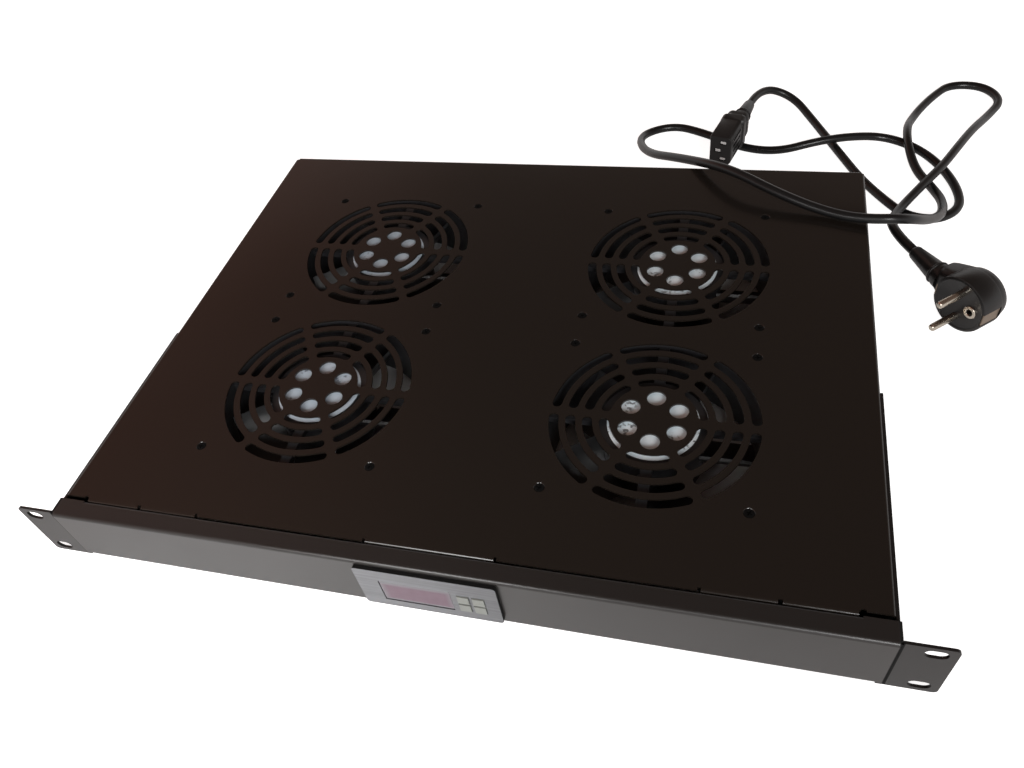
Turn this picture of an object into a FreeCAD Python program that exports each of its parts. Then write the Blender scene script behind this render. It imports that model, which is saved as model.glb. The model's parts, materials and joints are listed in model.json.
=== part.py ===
import FreeCAD, Part
import math
import os
import Sketcher

# A one-unit rack fan tray: bent deck with four grilles, front channel, two ears, four fans,
# a panel controller, a mains inlet and the mains lead. All sizes are in millimetres.
# The origin is the middle of the four rack slots, on the plane of the rails.

os.makedirs("parts", exist_ok=True)
doc = FreeCAD.newDocument("RackFanTray")

# Independent sizes, each written once
SIZES = {
    "rack_width": 482.6,
    "panel_height": 43.6,
    "ear_slot_spacing": 465.1,
    "ear_slot_pitch": 31.75,
    "ear_slot_height": 6.6,
    "ear_slot_length": 10.0,
    "ear_sheet": 1.5,
    "ear_bend": 2.0,
    "ear_corner": 2.5,
    "ear_leg_end": 141.5,
    "ear_leg_drop": 1.4,
    "deck_sheet": 1.2,
    "deck_width": 433.0,
    "deck_rear": 343.5,
    "deck_bend": 1.8,
    "deck_lip": 10.0,
    "corner_relief": 3.0,
    "seam_tab_front": 8.7,
    "seam_edge_front": 9.3,
    "seam_relief": 11.1,
    "seam_lip": 5.2,
    "channel_front": -2.7,
    "channel_width": 434.6,
    "channel_cap_width": 436.8,
    "channel_bend": 2.2,
    "channel_bottom": -19.2,
    "channel_flange": 12.0,
    "channel_flange_width": 429.0,
    "channel_lip_width": 406.4,
    "fan_pitch_across": 200.0,
    "fan_pitch_along": 129.0,
    "fan_front": 106.9,
    "fan_side": 119.0,
    "fan_depth": 38.0,
    "fan_flange": 5.0,
    "fan_corner": 5.0,
    "fan_holes": 105.0,
    "fan_hole_radius": 2.15,
    "duct_radius": 57.5,
    "duct_wall": 1.8,
    "hub_radius": 29.5,
    "hub_drop": 2.3,
    "hub_thick": 7.4,
    "strut_width": 6.0,
    "strut_thick": 4.0,
    "bearing_tube_radius": 7.0,
    "bearing_tube_wall": 1.5,
    "bearing_tube_length": 20.0,
    "label_radius": 25.2,
    "label_thick": 0.2,
    "rotor_radius": 28.0,
    "rotor_wall": 2.5,
    "rotor_gap": 0.7,
    "rotor_height": 24.0,
    "blade_tip_radius": 56.3,
    "blade_reach": 14.0,
    "blade_rise": 11.0,
    "blade_thick": 1.8,
    "blade_camber": 34.0,
    "shaft_radius": 2.0,
    "shaft_running": 0.05,
    "bearing_height": 4.0,
    "glue_line": 0.3,
    "stator_radius": 21.5,
    "stator_height": 12.0,
    "grille_slot_width": 5.5,
    "grille_spoke": 4.8,
    "grille_ring_one": 26.8,
    "grille_ring_two": 35.95,
    "grille_ring_three": 45.15,
    "grille_ring_four": 54.4,
    "grille_eye_radius": 5.25,
    "grille_eye_circle": 15.2,
    "screw_head_radius": 2.65,
    "screw_radius": 1.5,
    "screw_length": 10.0,
    "nut_thick": 2.4,
    "nut_across": 5.5,
    "rivet_head_radius": 3.1,
    "rivet_head_height": 1.1,
    "rivet_radius": 1.6,
    "control_offset": 0.5,
    "control_height": 1.6,
    "bezel_width": 75.0,
    "bezel_height": 35.5,
    "bezel_proud": 2.3,
    "bezel_corner": 2.0,
    "bezel_plate": 1.3,
    "case_width": 71.0,
    "case_height": 28.5,
    "case_depth": 86.2,
    "case_wall": 1.8,
    "panel_clearance": 0.6,
    "window_offset": -6.0,
    "window_height_offset": -0.3,
    "window_width": 38.0,
    "window_high": 19.0,
    "button_left": 19.5,
    "button_pitch_across": 8.0,
    "button_top": 3.5,
    "button_pitch_down": 8.1,
    "button_width": 6.0,
    "button_high": 6.5,
    "button_clearance": 0.2,
    "button_travel": 0.8,
    "inlet_offset": 150.0,
    "inlet_screw_pitch": 40.0,
    "inlet_width": 27.4,
    "inlet_high": 19.6,
    "inlet_depth": 23.0,
    "inlet_flange": 3.0,
    "cord_diameter": 6.4,
    "plug_radius": 18.7,
    "plug_thick": 24.0,
}

sheet = doc.addObject("Spreadsheet::Sheet", "Sizes")
for row, (alias, amount) in enumerate(SIZES.items(), start=1):
    sheet.set("A%d" % row, alias)
    sheet.set("B%d" % row, "%g" % amount)
    sheet.setAlias("B%d" % row, alias)
doc.recompute()


class Size:
    """A number that also keeps the sheet expression it came from."""

    def __init__(self, number, text):
        self.number = float(number)
        self.text = text

    def join(self, sign, other, number, swap=False):
        mine = self.text
        theirs = other.text if isinstance(other, Size) else "%.9g" % other
        if swap:
            mine, theirs = theirs, mine
        return Size(number, "(%s %s %s)" % (mine, sign, theirs))

    def __add__(self, other):
        return self.join("+", other, self.number + plain(other))

    def __radd__(self, other):
        return self.join("+", other, plain(other) + self.number, True)

    def __sub__(self, other):
        return self.join("-", other, self.number - plain(other))

    def __rsub__(self, other):
        return self.join("-", other, plain(other) - self.number, True)

    def __mul__(self, other):
        return self.join("*", other, self.number * plain(other))

    def __rmul__(self, other):
        return self.join("*", other, plain(other) * self.number, True)

    def __truediv__(self, other):
        return self.join("/", other, self.number / plain(other))

    def __neg__(self):
        return Size(-self.number, "(0 - %s)" % self.text)


def plain(value):
    """The bare number of a size or of a number."""
    return value.number if isinstance(value, Size) else float(value)


def root(value):
    """Square root of a size."""
    return Size(math.sqrt(value.number), "sqrt(%s)" % value.text)


def size(alias):
    """A size read from the sheet."""
    return Size(sheet.get(alias), "Sizes.%s" % alias)


def put(thing, path, value):
    """Sets a property from a size, bound to the sheet, or from a number."""
    text = value.text if isinstance(value, Size) else "%.9g" % value
    thing.setExpression(path, text)


counter = {"value": 0}


def fresh(word):
    """A name not used before."""
    counter["value"] += 1
    return "%s_%03d" % (word, counter["value"])


# Sizes worked out from the sheet
half_height = size("panel_height") / 2
top = half_height
floor = -half_height
deck_sheet = size("deck_sheet")
deck_half = size("deck_width") / 2
bend = size("deck_bend")
inner_bend = bend - deck_sheet
plate_under = top - deck_sheet
fan_across = size("fan_pitch_across") / 2
fan_front = size("fan_front")
fan_rear = fan_front + size("fan_pitch_along")
fan_bottom = plate_under - size("fan_depth")
hub_top = plate_under - size("hub_drop")
hub_bottom = hub_top - size("hub_thick")
rotor_top = hub_bottom - size("rotor_gap")
rotor_bottom = rotor_top - size("rotor_height")
glue = size("glue_line")
seam_tab = size("seam_tab_front")
seam_relief = size("seam_relief")
rear = size("deck_rear")
channel_front = size("channel_front")
channel_back = channel_front + deck_sheet
control_x = size("control_offset")
control_z = size("control_height")
inlet_x = size("inlet_offset")
FANS = {
    "front_left": (-fan_across, fan_front),
    "front_right": (fan_across, fan_front),
    "rear_left": (-fan_across, fan_rear),
    "rear_right": (fan_across, fan_rear),
}
NODES = {}


def named(thing, label):
    """Names a finished piece."""
    thing.Label = label
    NODES[label] = thing
    return thing


# Helpers for sketched bodies
def new_body(label):
    body = doc.addObject("PartDesign::Body", fresh("Body"))
    return named(body, label)


def plane(body, role):
    for feature in body.Origin.OriginFeatures:
        if feature.Role == role:
            return feature
    raise ValueError(role)


def sketch_on(body, role, shift=(0, 0, 0)):
    """A sketch on one of the body's own planes, moved by shift in the sketch's own axes."""
    sketch = body.newObject("Sketcher::SketchObject", fresh("Sketch"))
    sketch.AttachmentSupport = [(plane(body, role), "")]
    sketch.MapMode = "FlatFace"
    for axis, value in zip("xyz", shift):
        if isinstance(value, Size) or value:
            put(sketch, "AttachmentOffset.Base.%s" % axis, value)
    return sketch


def vector(u, v):
    return FreeCAD.Vector(plain(u), plain(v), 0)


def add_limits(sketch, rules):
    """Adds the constraints and binds those that hold a size."""
    made = sketch.addConstraint([rule for rule, value in rules])
    first = made[0] if isinstance(made, (tuple, list)) else made
    for step, (rule, value) in enumerate(rules):
        if isinstance(value, Size):
            sketch.setExpression("Constraints[%d]" % (first + step), value.text)


def pin(piece, end, u, v):
    """Rules that hold one point at u, v."""
    rules = []
    for axis, kind, value in ((-2, "DistanceX", u), (-1, "DistanceY", v)):
        if not isinstance(value, Size) and abs(value) < 1e-9:
            rules.append((Sketcher.Constraint("PointOnObject", piece, end, axis), None))
        else:
            rules.append((Sketcher.Constraint(kind, -1, 1, piece, end, plain(value)), value))
    return rules


def arc_piece(start, end, centre, turn):
    """An arc from start to end and which of its ends is the start."""
    radius = (start - centre).Length
    from_angle = math.atan2(start.y - centre.y, start.x - centre.x)
    to_angle = math.atan2(end.y - centre.y, end.x - centre.x)
    if turn < 0:
        from_angle, to_angle = to_angle, from_angle
    while to_angle <= from_angle:
        to_angle += 2 * math.pi
    circle = Part.Circle(centre, FreeCAD.Vector(0, 0, 1), radius)
    return Part.ArcOfCircle(circle, from_angle, to_angle)


def outline(sketch, corners):
    """One closed loop. A corner is (u, v), or (u, v, radius, turn) when an arc follows it,
    or (u, v, centre u, centre v, turn) when a half circle follows it."""
    count = len(corners)
    shapes = []
    ends = []
    rules = []
    first = sketch.GeometryCount
    for step, corner in enumerate(corners):
        after = corners[(step + 1) % count]
        start = vector(corner[0], corner[1])
        end = vector(after[0], after[1])
        piece = first + step
        if len(corner) == 2:
            shapes.append(Part.LineSegment(start, end))
            ends.append((1, 2))
            continue
        turn = corner[-1]
        across = end - start
        side = FreeCAD.Vector(-across.y, across.x, 0)
        if len(corner) == 4:
            radius = plain(corner[2])
            rise = math.sqrt(max(0, radius ** 2 - (across.Length / 2) ** 2))
            centre = (start + end) / 2 + side.normalize() * rise * turn
            rules.append((Sketcher.Constraint("Radius", piece, radius), corner[2]))
        else:
            centre = vector(corner[2], corner[3])
            pick = 0 if abs(side.x) > abs(side.y) else 1
            rules.append(pin(piece, 3, corner[2], corner[3])[pick])
        shapes.append(arc_piece(start, end, centre, turn))
        ends.append((1, 2) if turn > 0 else (2, 1))
    sketch.addGeometry(shapes, False)
    for step, corner in enumerate(corners):
        piece = first + step
        after = (step + 1) % count
        joint = Sketcher.Constraint("Coincident", piece, ends[step][1], first + after, ends[after][0])
        rules.insert(0, (joint, None))
        rules.extend(pin(piece, ends[step][0], corner[0], corner[1]))
    add_limits(sketch, rules)


def ring(sketch, u, v, radius):
    """One circle."""
    piece = sketch.GeometryCount
    sketch.addGeometry(Part.Circle(vector(u, v), FreeCAD.Vector(0, 0, 1), plain(radius)), False)
    rules = pin(piece, 3, u, v)
    rules.append((Sketcher.Constraint("Radius", piece, plain(radius)), radius))
    add_limits(sketch, rules)


def block(sketch, u0, v0, u1, v1):
    """One rectangle between two corners."""
    outline(sketch, [(u0, v0), (u1, v0), (u1, v1), (u0, v1)])


def soft_block(sketch, u, v, width, height, radius):
    """A rectangle with rounded corners about its middle."""
    a = u - width / 2
    b = u + width / 2
    c = v - height / 2
    d = v + height / 2
    outline(sketch, [
        (a + radius, c), (b - radius, c, radius, 1), (b, c + radius), (b, d - radius, radius, 1),
        (b - radius, d), (a + radius, d, radius, 1), (a, d - radius), (a, c + radius, radius, 1),
    ])


def pad(body, sketch, length, back=False):
    feature = body.newObject("PartDesign::Pad", fresh("Pad"))
    feature.Profile = sketch
    put(feature, "Length", length)
    feature.Reversed = back
    return feature


def pocket(body, sketch, length):
    """A pocket whose direction is settled by the volume it takes away."""
    doc.recompute()
    before = body.Shape.Volume
    feature = body.newObject("PartDesign::Pocket", fresh("Pocket"))
    feature.Profile = sketch
    put(feature, "Length", length)
    doc.recompute()
    if not body.Shape.Volume < before - 1e-6:
        feature.Reversed = True
        doc.recompute()
    if not body.Shape.Volume < before - 1e-6:
        raise ValueError("a pocket in %s takes nothing away" % body.Label)
    return feature


def several(body, originals, steps):
    """Repeats features through polar or linear steps."""
    multi = body.newObject("PartDesign::MultiTransform", fresh("Repeat"))
    multi.Originals = originals
    parts = []
    for kind, reference, axis, length, times in steps:
        if kind == "polar":
            step = body.newObject("PartDesign::PolarPattern", fresh("Polar"))
            step.Axis = (reference, [axis])
            step.Angle = 360
        else:
            step = body.newObject("PartDesign::LinearPattern", fresh("Linear"))
            step.Direction = (reference, [axis])
            put(step, "Length", length)
        step.Occurrences = times
        parts.append(step)
    multi.Transformations = parts
    body.Tip = multi
    return multi


def mirrored(body, originals):
    """Repeats features on the other side of the middle plane."""
    feature = body.newObject("PartDesign::Mirrored", fresh("Mirror"))
    feature.Originals = originals
    feature.MirrorPlane = (plane(body, "YZ_Plane"), [""])
    body.Tip = feature
    return feature


# Helpers for pieces made of simple solids
def box(x, y, z, dx, dy, dz):
    thing = doc.addObject("Part::Box", fresh("Box"))
    for path, value in (("Length", dx), ("Width", dy), ("Height", dz)):
        put(thing, path, value)
    move(thing, x, y, z)
    return thing


def move(thing, x, y, z):
    for axis, value in zip("xyz", (x, y, z)):
        put(thing, "Placement.Base.%s" % axis, value)


def turned(thing, axis):
    if axis == "y":
        thing.Placement.Rotation = FreeCAD.Rotation(FreeCAD.Vector(1, 0, 0), -90)
    if axis == "x":
        thing.Placement.Rotation = FreeCAD.Rotation(FreeCAD.Vector(0, 1, 0), 90)


def rod(x, y, z, radius, height, axis="z"):
    thing = doc.addObject("Part::Cylinder", fresh("Rod"))
    put(thing, "Radius", radius)
    put(thing, "Height", height)
    turned(thing, axis)
    move(thing, x, y, z)
    return thing


def cone(x, y, z, start, end, height, axis="z"):
    thing = doc.addObject("Part::Cone", fresh("Cone"))
    put(thing, "Radius1", start)
    put(thing, "Radius2", end)
    put(thing, "Height", height)
    turned(thing, axis)
    move(thing, x, y, z)
    return thing


def fuse(things):
    joined = doc.addObject("Part::MultiFuse", fresh("Fuse"))
    joined.Shapes = things
    joined.Refine = True
    return joined


def cut(base, tools):
    tool = tools[0] if len(tools) == 1 else fuse(tools)
    result = doc.addObject("Part::Cut", fresh("Cut"))
    result.Base = base
    result.Tool = tool
    return result


def group(things):
    together = doc.addObject("Part::Compound", fresh("Group"))
    together.Links = things
    return together


def hexagon(x, y, z, across, height, axis="z"):
    thing = doc.addObject("Part::Prism", fresh("Prism"))
    thing.Polygon = 6
    put(thing, "Circumradius", across / root(Size(3, "3")))
    put(thing, "Height", height)
    turned(thing, axis)
    move(thing, x, y, z)
    return thing


# Path of a lead: straight runs joined by tangent arcs
def lead_path(points):
    """Edges through the points, the smallest bend radius and the whole length."""
    points = [FreeCAD.Vector(*point) for point in points]
    edges = []
    at = points[0]
    smallest = 1e9
    for before, corner, after in zip(points, points[1:], points[2:]):
        into = corner - before
        out = after - corner
        short = min(into.Length, out.Length)
        turn = into.getAngle(out)
        reach = 0.45 * short
        smallest = min(smallest, reach / math.tan(turn / 2))
        start = corner - into.normalize() * reach
        end = corner + out.normalize() * reach
        to_centre = (end - corner).normalize() + (start - corner).normalize()
        radius = reach / math.tan(turn / 2)
        away = math.hypot(reach, radius)
        centre = corner + to_centre.normalize() * away
        middle = centre - to_centre.normalize() * radius
        edges.append(Part.LineSegment(at, start).toShape())
        edges.append(Part.Arc(start, middle, end).toShape())
        at = end
    edges.append(Part.LineSegment(at, points[-1]).toShape())
    wire = Part.Wire(edges)
    return wire, smallest, wire.Length


def lead_tube(points, diameter, word):
    """A round tube along the path, checked by its volume."""
    wire, smallest, length = lead_path(points)
    start = FreeCAD.Vector(*points[0])
    heading = FreeCAD.Vector(*points[1]) - start
    circle = Part.Wire([Part.Edge(Part.Circle(start, heading, diameter / 2))])
    tube = wire.makePipeShell([circle], True, False)
    expected = math.pi * diameter ** 2 / 4 * length
    print("%s: bend radius at least %.1f, length %.0f, volume ratio %.4f"
          % (word, smallest, length, tube.Volume / expected))
    return tube


def lead_piece(label, tubes):
    """One piece of one or more tubes."""
    thing = doc.addObject("Part::Feature", fresh("Lead"))
    thing.Shape = tubes[0] if len(tubes) == 1 else Part.Compound(tubes)
    thing.Placement = FreeCAD.Placement()
    return named(thing, label)


# Deck: one folded sheet with side walls, rear wall, seam tabs and four grilles
def build_deck():
    body = new_body("fan_deck")
    lip = size("deck_lip")
    side = sketch_on(body, "XZ_Plane", (0, 0, -seam_relief))
    h = deck_half
    b = bend
    t = deck_sheet
    i = inner_bend
    outline(side, [
        (-(h - lip), floor), (-(h - b), floor, b, -1), (-h, floor + b), (-h, top - b, b, -1),
        (-(h - b), top), (h - b, top, b, -1), (h, top - b), (h, floor + b, b, -1),
        (h - b, floor), (h - lip, floor), (h - lip, floor + t), (h - b, floor + t, i, 1),
        (h - t, floor + b), (h - t, top - b, i, 1), (h - b, top - t), (-(h - b), top - t, i, 1),
        (-(h - t), top - b), (-(h - t), floor + b, i, 1), (-(h - b), floor + t),
        (-(h - lip), floor + t),
    ])
    pad(body, side, rear - size("corner_relief") - seam_relief, True)
    wall_half = h - size("corner_relief")
    wall = sketch_on(body, "YZ_Plane", (0, 0, -wall_half))
    start = rear - size("corner_relief") - 1
    outline(wall, [
        (start, top), (rear - b, top, b, -1), (rear, top - b), (rear, floor + b),
        (rear - t, floor + b), (rear - t, top - b, i, 1), (rear - b, top - t), (start, top - t),
    ])
    pad(body, wall, wall_half * 2)
    ends = sketch_on(body, "XZ_Plane", (0, 0, -start))
    block(ends, h - t, floor + b, h, top - b)
    block(ends, -h, floor + b, t - h, top - b)
    pad(body, ends, rear - t - start, True)
    corners = sketch_on(body, "XZ_Plane", (0, 0, -rear))
    block(corners, 0.1 - h, floor + b, h - 0.1, top - b)
    pad(body, corners, t)
    lip_half = h - lip - 2
    foot = sketch_on(body, "YZ_Plane", (0, 0, -lip_half))
    outline(foot, [
        (rear, floor + b, b, -1), (rear - b, floor), (rear - lip, floor), (rear - lip, floor + t),
        (rear - b, floor + t, i, 1), (rear - t, floor + b),
    ])
    pad(body, foot, lip_half * 2)
    tab_end = top - size("seam_lip")

    def tab(x0, x1):
        profile = sketch_on(body, "YZ_Plane", (0, 0, x0))
        outline(profile, [
            (seam_relief + 0.4, top), (seam_tab + b, top, b, 1), (seam_tab, top - b),
            (seam_tab, tab_end), (seam_tab + t, tab_end), (seam_tab + t, top - b, i, -1),
            (seam_tab + b, top - t), (seam_relief + 0.4, top - t),
        ])
        return pad(body, profile, x1 - x0)

    tab(-34, 34)
    first = tab(133, 167)
    second = tab(169, 201)
    edge = sketch_on(body, "XY_Plane", (0, 0, plate_under))
    block(edge, 35.5, size("seam_edge_front"), 131.5, seam_relief + 0.4)
    third = pad(body, edge, deck_sheet)
    mirrored(body, [first, second, third])
    relief = sketch_on(body, "XY_Plane", (0, 0, top))
    ring(relief, 203, seam_relief - 0.2, 1.3)
    ring(relief, -203, seam_relief - 0.2, 1.3)
    pocket(body, relief, deck_sheet + 0.5)

    # One sixth of a grille: four slots with round ends and one round hole
    grille = sketch_on(body, "XY_Plane", (-fan_across, fan_front, top))
    half = size("grille_slot_width") / 2
    offset = size("grille_spoke") / 2 + half
    for alias in ("grille_ring_one", "grille_ring_two", "grille_ring_three", "grille_ring_four"):
        mean = size(alias)
        along = root(mean * mean - offset * offset)
        far_u = along * 0.5 + offset * 0.8660254038
        far_v = along * 0.8660254038 - offset * 0.5
        wide = (mean + half) / mean
        thin = (mean - half) / mean
        outline(grille, [
            (along * wide, offset * wide, mean + half, 1),
            (far_u * wide, far_v * wide, far_u, far_v, 1),
            (far_u * thin, far_v * thin, mean - half, -1),
            (along * thin, offset * thin, along, offset, 1),
        ])
    eye = size("grille_eye_circle")
    ring(grille, eye * 0.8660254038, eye * 0.5, size("grille_eye_radius"))
    sixth = pocket(body, grille, deck_sheet + 0.5)
    several(body, [sixth], [
        ("polar", grille, "N_Axis", None, 6),
        ("linear", grille, "H_Axis", size("fan_pitch_across"), 2),
        ("linear", grille, "V_Axis", size("fan_pitch_along"), 2),
    ])

    # Countersunk holes for the fan screws
    holes = size("fan_holes")
    sink = body.newObject("PartDesign::SubtractiveCone", fresh("Sink"))
    sink.AttachmentSupport = [(plane(body, "XY_Plane"), "")]
    sink.MapMode = "FlatFace"
    put(sink, "AttachmentOffset.Base.x", -fan_across - holes / 2)
    put(sink, "AttachmentOffset.Base.y", fan_front - holes / 2)
    put(sink, "AttachmentOffset.Base.z", plate_under)
    put(sink, "Radius1", size("screw_radius") + glue)
    put(sink, "Radius2", size("screw_head_radius") + glue)
    put(sink, "Height", deck_sheet)
    several(body, [sink], [
        ("linear", grille, "H_Axis", holes, 2),
        ("linear", grille, "H_Axis", size("fan_pitch_across"), 2),
        ("linear", grille, "V_Axis", holes, 2),
        ("linear", grille, "V_Axis", size("fan_pitch_along"), 2),
    ])

    # Cut-out and holes of the inlet and the earth screw in the rear wall
    back = sketch_on(body, "XZ_Plane", (0, 0, -rear))
    gap = 0.4
    wide = size("inlet_width") / 2 + gap
    high = size("inlet_high") / 2 + gap
    block(back, inlet_x - wide, -high, inlet_x + wide, high)
    pitch = size("inlet_screw_pitch") / 2
    ring(back, inlet_x - pitch, 0, size("screw_radius") + glue)
    ring(back, inlet_x + pitch, 0, size("screw_radius") + glue)
    ring(back, 190, -8, 2.3)
    pocket(body, back, deck_sheet + 0.3)

    # Rivet holes in the side walls
    walls = sketch_on(body, "YZ_Plane", (0, 0, -h - 1))
    for place in RIVETS:
        ring(walls, place, 0, size("rivet_radius") + 0.3)
    drilled = body.newObject("PartDesign::Pocket", fresh("Pocket"))
    drilled.Profile = walls
    drilled.Reversed = True
    put(drilled, "Length", h * 2 + 2)
    body.Tip = drilled
    return body


RIVETS = (30, 78, 126)


# Front channel: face, top flange, return lip at the seam and bottom flange
def build_channel():
    body = new_body("front_channel")
    f = channel_front
    t = deck_sheet
    r = size("channel_bend")
    b = bend
    low = size("channel_bottom")
    half = size("channel_width") / 2
    face = sketch_on(body, "YZ_Plane", (0, 0, -half))
    rear_flat = seam_tab - b
    outline(face, [
        (f, low + b), (f + t, low + b), (f + t, top - r, r - t, -1), (f + r, top - t),
        (rear_flat, top - t), (rear_flat, top), (f + r, top, r, 1), (f, top - r),
    ])
    pad(body, face, half * 2)
    lip_half = size("channel_lip_width") / 2
    lip_end = top - size("seam_lip")
    back = sketch_on(body, "YZ_Plane", (0, 0, -lip_half))
    outline(back, [
        (rear_flat, top, b, -1), (seam_tab, top - b), (seam_tab, lip_end), (seam_tab - t, lip_end),
        (seam_tab - t, top - b, b - t, 1), (rear_flat, top - t),
    ])
    pad(body, back, lip_half * 2)
    flange_half = size("channel_flange_width") / 2
    foot = sketch_on(body, "YZ_Plane", (0, 0, -flange_half))
    outline(foot, [
        (f, low + b, b, 1), (f + b, low), (f + size("channel_flange"), low),
        (f + size("channel_flange"), low + t), (f + b, low + t, b - t, -1), (f + t, low + b),
    ])
    pad(body, foot, flange_half * 2)
    cap = sketch_on(body, "XY_Plane", (0, 0, plate_under))
    block(cap, lip_half - 0.5, f + r, size("channel_cap_width") / 2, seam_tab)
    first = pad(body, cap, deck_sheet)
    toe = sketch_on(body, "XZ_Plane", (0, 0, -channel_back))
    block(toe, flange_half - 0.2, low, half, low + b)
    second = pad(body, toe, deck_sheet)
    mirrored(body, [first, second])
    opening = sketch_on(body, "XZ_Plane", (0, 0, -channel_back))
    gap = size("panel_clearance")
    wide = size("case_width") / 2 + gap
    high = size("case_height") / 2 + gap
    block(opening, control_x - wide, control_z - high, control_x + wide, control_z + high)
    pocket(body, opening, deck_sheet + 0.3)
    return body


# Ears: brackets folded back along the side walls
def build_ear(label, side):
    body = new_body(label)
    t = size("ear_sheet")
    b = size("ear_bend")
    corner = size("ear_corner")
    inner = deck_half
    outer = size("rack_width") / 2
    low = floor
    flat = sketch_on(body, "XZ_Plane")
    x0 = side * (inner + b)
    x1 = side * (outer - corner)
    x2 = side * outer
    turn = side
    outline(flat, [
        (x0, low), (x1, low, corner, turn), (x2, low + corner), (x2, top - corner, corner, turn),
        (x1, top), (x0, top),
    ])
    pad(body, flat, t)
    leg = sketch_on(body, "XY_Plane", (0, 0, floor))
    outline(leg, [
        (side * (inner + b), -t, b, -side), (side * inner, b - t),
        (side * inner, size("ear_leg_end")), (side * (inner + t), size("ear_leg_end")),
        (side * (inner + t), b - t, b - t, side), (side * (inner + b), 0),
    ])
    pad(body, leg, size("panel_height") - size("ear_leg_drop"))
    slots = sketch_on(body, "XZ_Plane")
    mid = side * size("ear_slot_spacing") / 2
    reach = (size("ear_slot_length") - size("ear_slot_height")) / 2
    r = size("ear_slot_height") / 2
    for sign in (-1, 1):
        z = sign * size("ear_slot_pitch") / 2
        outline(slots, [
            (mid - reach, z - r), (mid + reach, z - r, mid + reach, z, 1),
            (mid + reach, z + r), (mid - reach, z + r, mid - reach, z, 1),
        ])
    slots_cut = body.newObject("PartDesign::Pocket", fresh("Pocket"))
    slots_cut.Profile = slots
    slots_cut.Type = "ThroughAll"
    slots_cut.Midplane = True
    body.Tip = slots_cut
    holes = sketch_on(body, "YZ_Plane", (0, 0, side * (inner - 1)))
    for place in RIVETS:
        ring(holes, place, 0, size("rivet_radius") + 0.3)
    drilled = body.newObject("PartDesign::Pocket", fresh("Pocket"))
    drilled.Profile = holes
    drilled.Reversed = side > 0
    put(drilled, "Length", t + 2)
    body.Tip = drilled
    return body


def build_rivets():
    things = []
    for side in (-1, 1):
        for place in RIVETS:
            outer = deck_half + size("ear_sheet")
            height = size("rivet_head_height")
            through = size("ear_sheet") + deck_sheet
            big = size("rivet_head_radius")
            if side > 0:
                head = cone(outer, place, 0, big, big * 0.62, height, "x")
                shank = rod(outer - through, place, 0, size("rivet_radius"), through + 0.1, "x")
                tail = rod(outer - through - 2.4, place, 0, 2.4, 2.4, "x")
            else:
                head = cone(-outer - height, place, 0, big * 0.62, big, height, "x")
                shank = rod(-outer - 0.1, place, 0, size("rivet_radius"), through + 0.1, "x")
                tail = rod(-outer + through, place, 0, 2.4, 2.4, "x")
            things.append(fuse([head, shank, tail]))
    return named(group(things), "ear_rivets")


# Fans
def build_fan_frame(word, x, y):
    body = new_body("fan_frame_%s" % word)
    side = size("fan_side")
    corner = size("fan_corner")
    for level in (plate_under - size("fan_flange"), fan_bottom):
        flange = sketch_on(body, "XY_Plane", (0, 0, level))
        soft_block(flange, 0, 0, side, side, corner)
        if level is fan_bottom:
            pad(body, flange, size("fan_flange"))
        else:
            first = flange
    duct = sketch_on(body, "XY_Plane", (0, 0, fan_bottom))
    ring(duct, 0, 0, size("duct_radius") + size("duct_wall"))
    pad(body, duct, size("fan_depth"))
    pad(body, first, size("fan_flange"))
    hollow = sketch_on(body, "XY_Plane", (0, 0, plate_under))
    ring(hollow, 0, 0, size("duct_radius"))
    pocket(body, hollow, size("fan_depth"))
    strut = sketch_on(body, "XY_Plane", (0, 0, hub_top - size("strut_thick")))
    half = size("strut_width") / 2
    block(strut, -(size("duct_radius") + 1), -half, size("duct_radius") + 1, half)
    block_across = pad(body, strut, size("strut_thick"))
    cross = sketch_on(body, "XY_Plane", (0, 0, hub_top - size("strut_thick")))
    block(cross, -half, -(size("duct_radius") + 1), half, size("duct_radius") + 1)
    pad(body, cross, size("strut_thick"))
    hub = sketch_on(body, "XY_Plane", (0, 0, hub_bottom))
    ring(hub, 0, 0, size("hub_radius"))
    pad(body, hub, size("hub_thick"))
    tube = sketch_on(body, "XY_Plane", (0, 0, hub_bottom - size("bearing_tube_length")))
    ring(tube, 0, 0, size("bearing_tube_radius"))
    pad(body, tube, size("bearing_tube_length") + 1)
    bore = sketch_on(body, "XY_Plane", (0, 0, hub_bottom - size("bearing_tube_length")))
    ring(bore, 0, 0, size("bearing_tube_radius") - size("bearing_tube_wall"))
    pocket(body, bore, size("bearing_tube_length") + 4)
    holes = sketch_on(body, "XY_Plane", (0, 0, plate_under))
    far = size("fan_holes") / 2
    for sx in (-1, 1):
        for sy in (-1, 1):
            ring(holes, sx * far, sy * far, size("fan_hole_radius"))
    pocket(body, holes, size("fan_depth"))
    move(body, x, y, 0)
    return body


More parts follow.
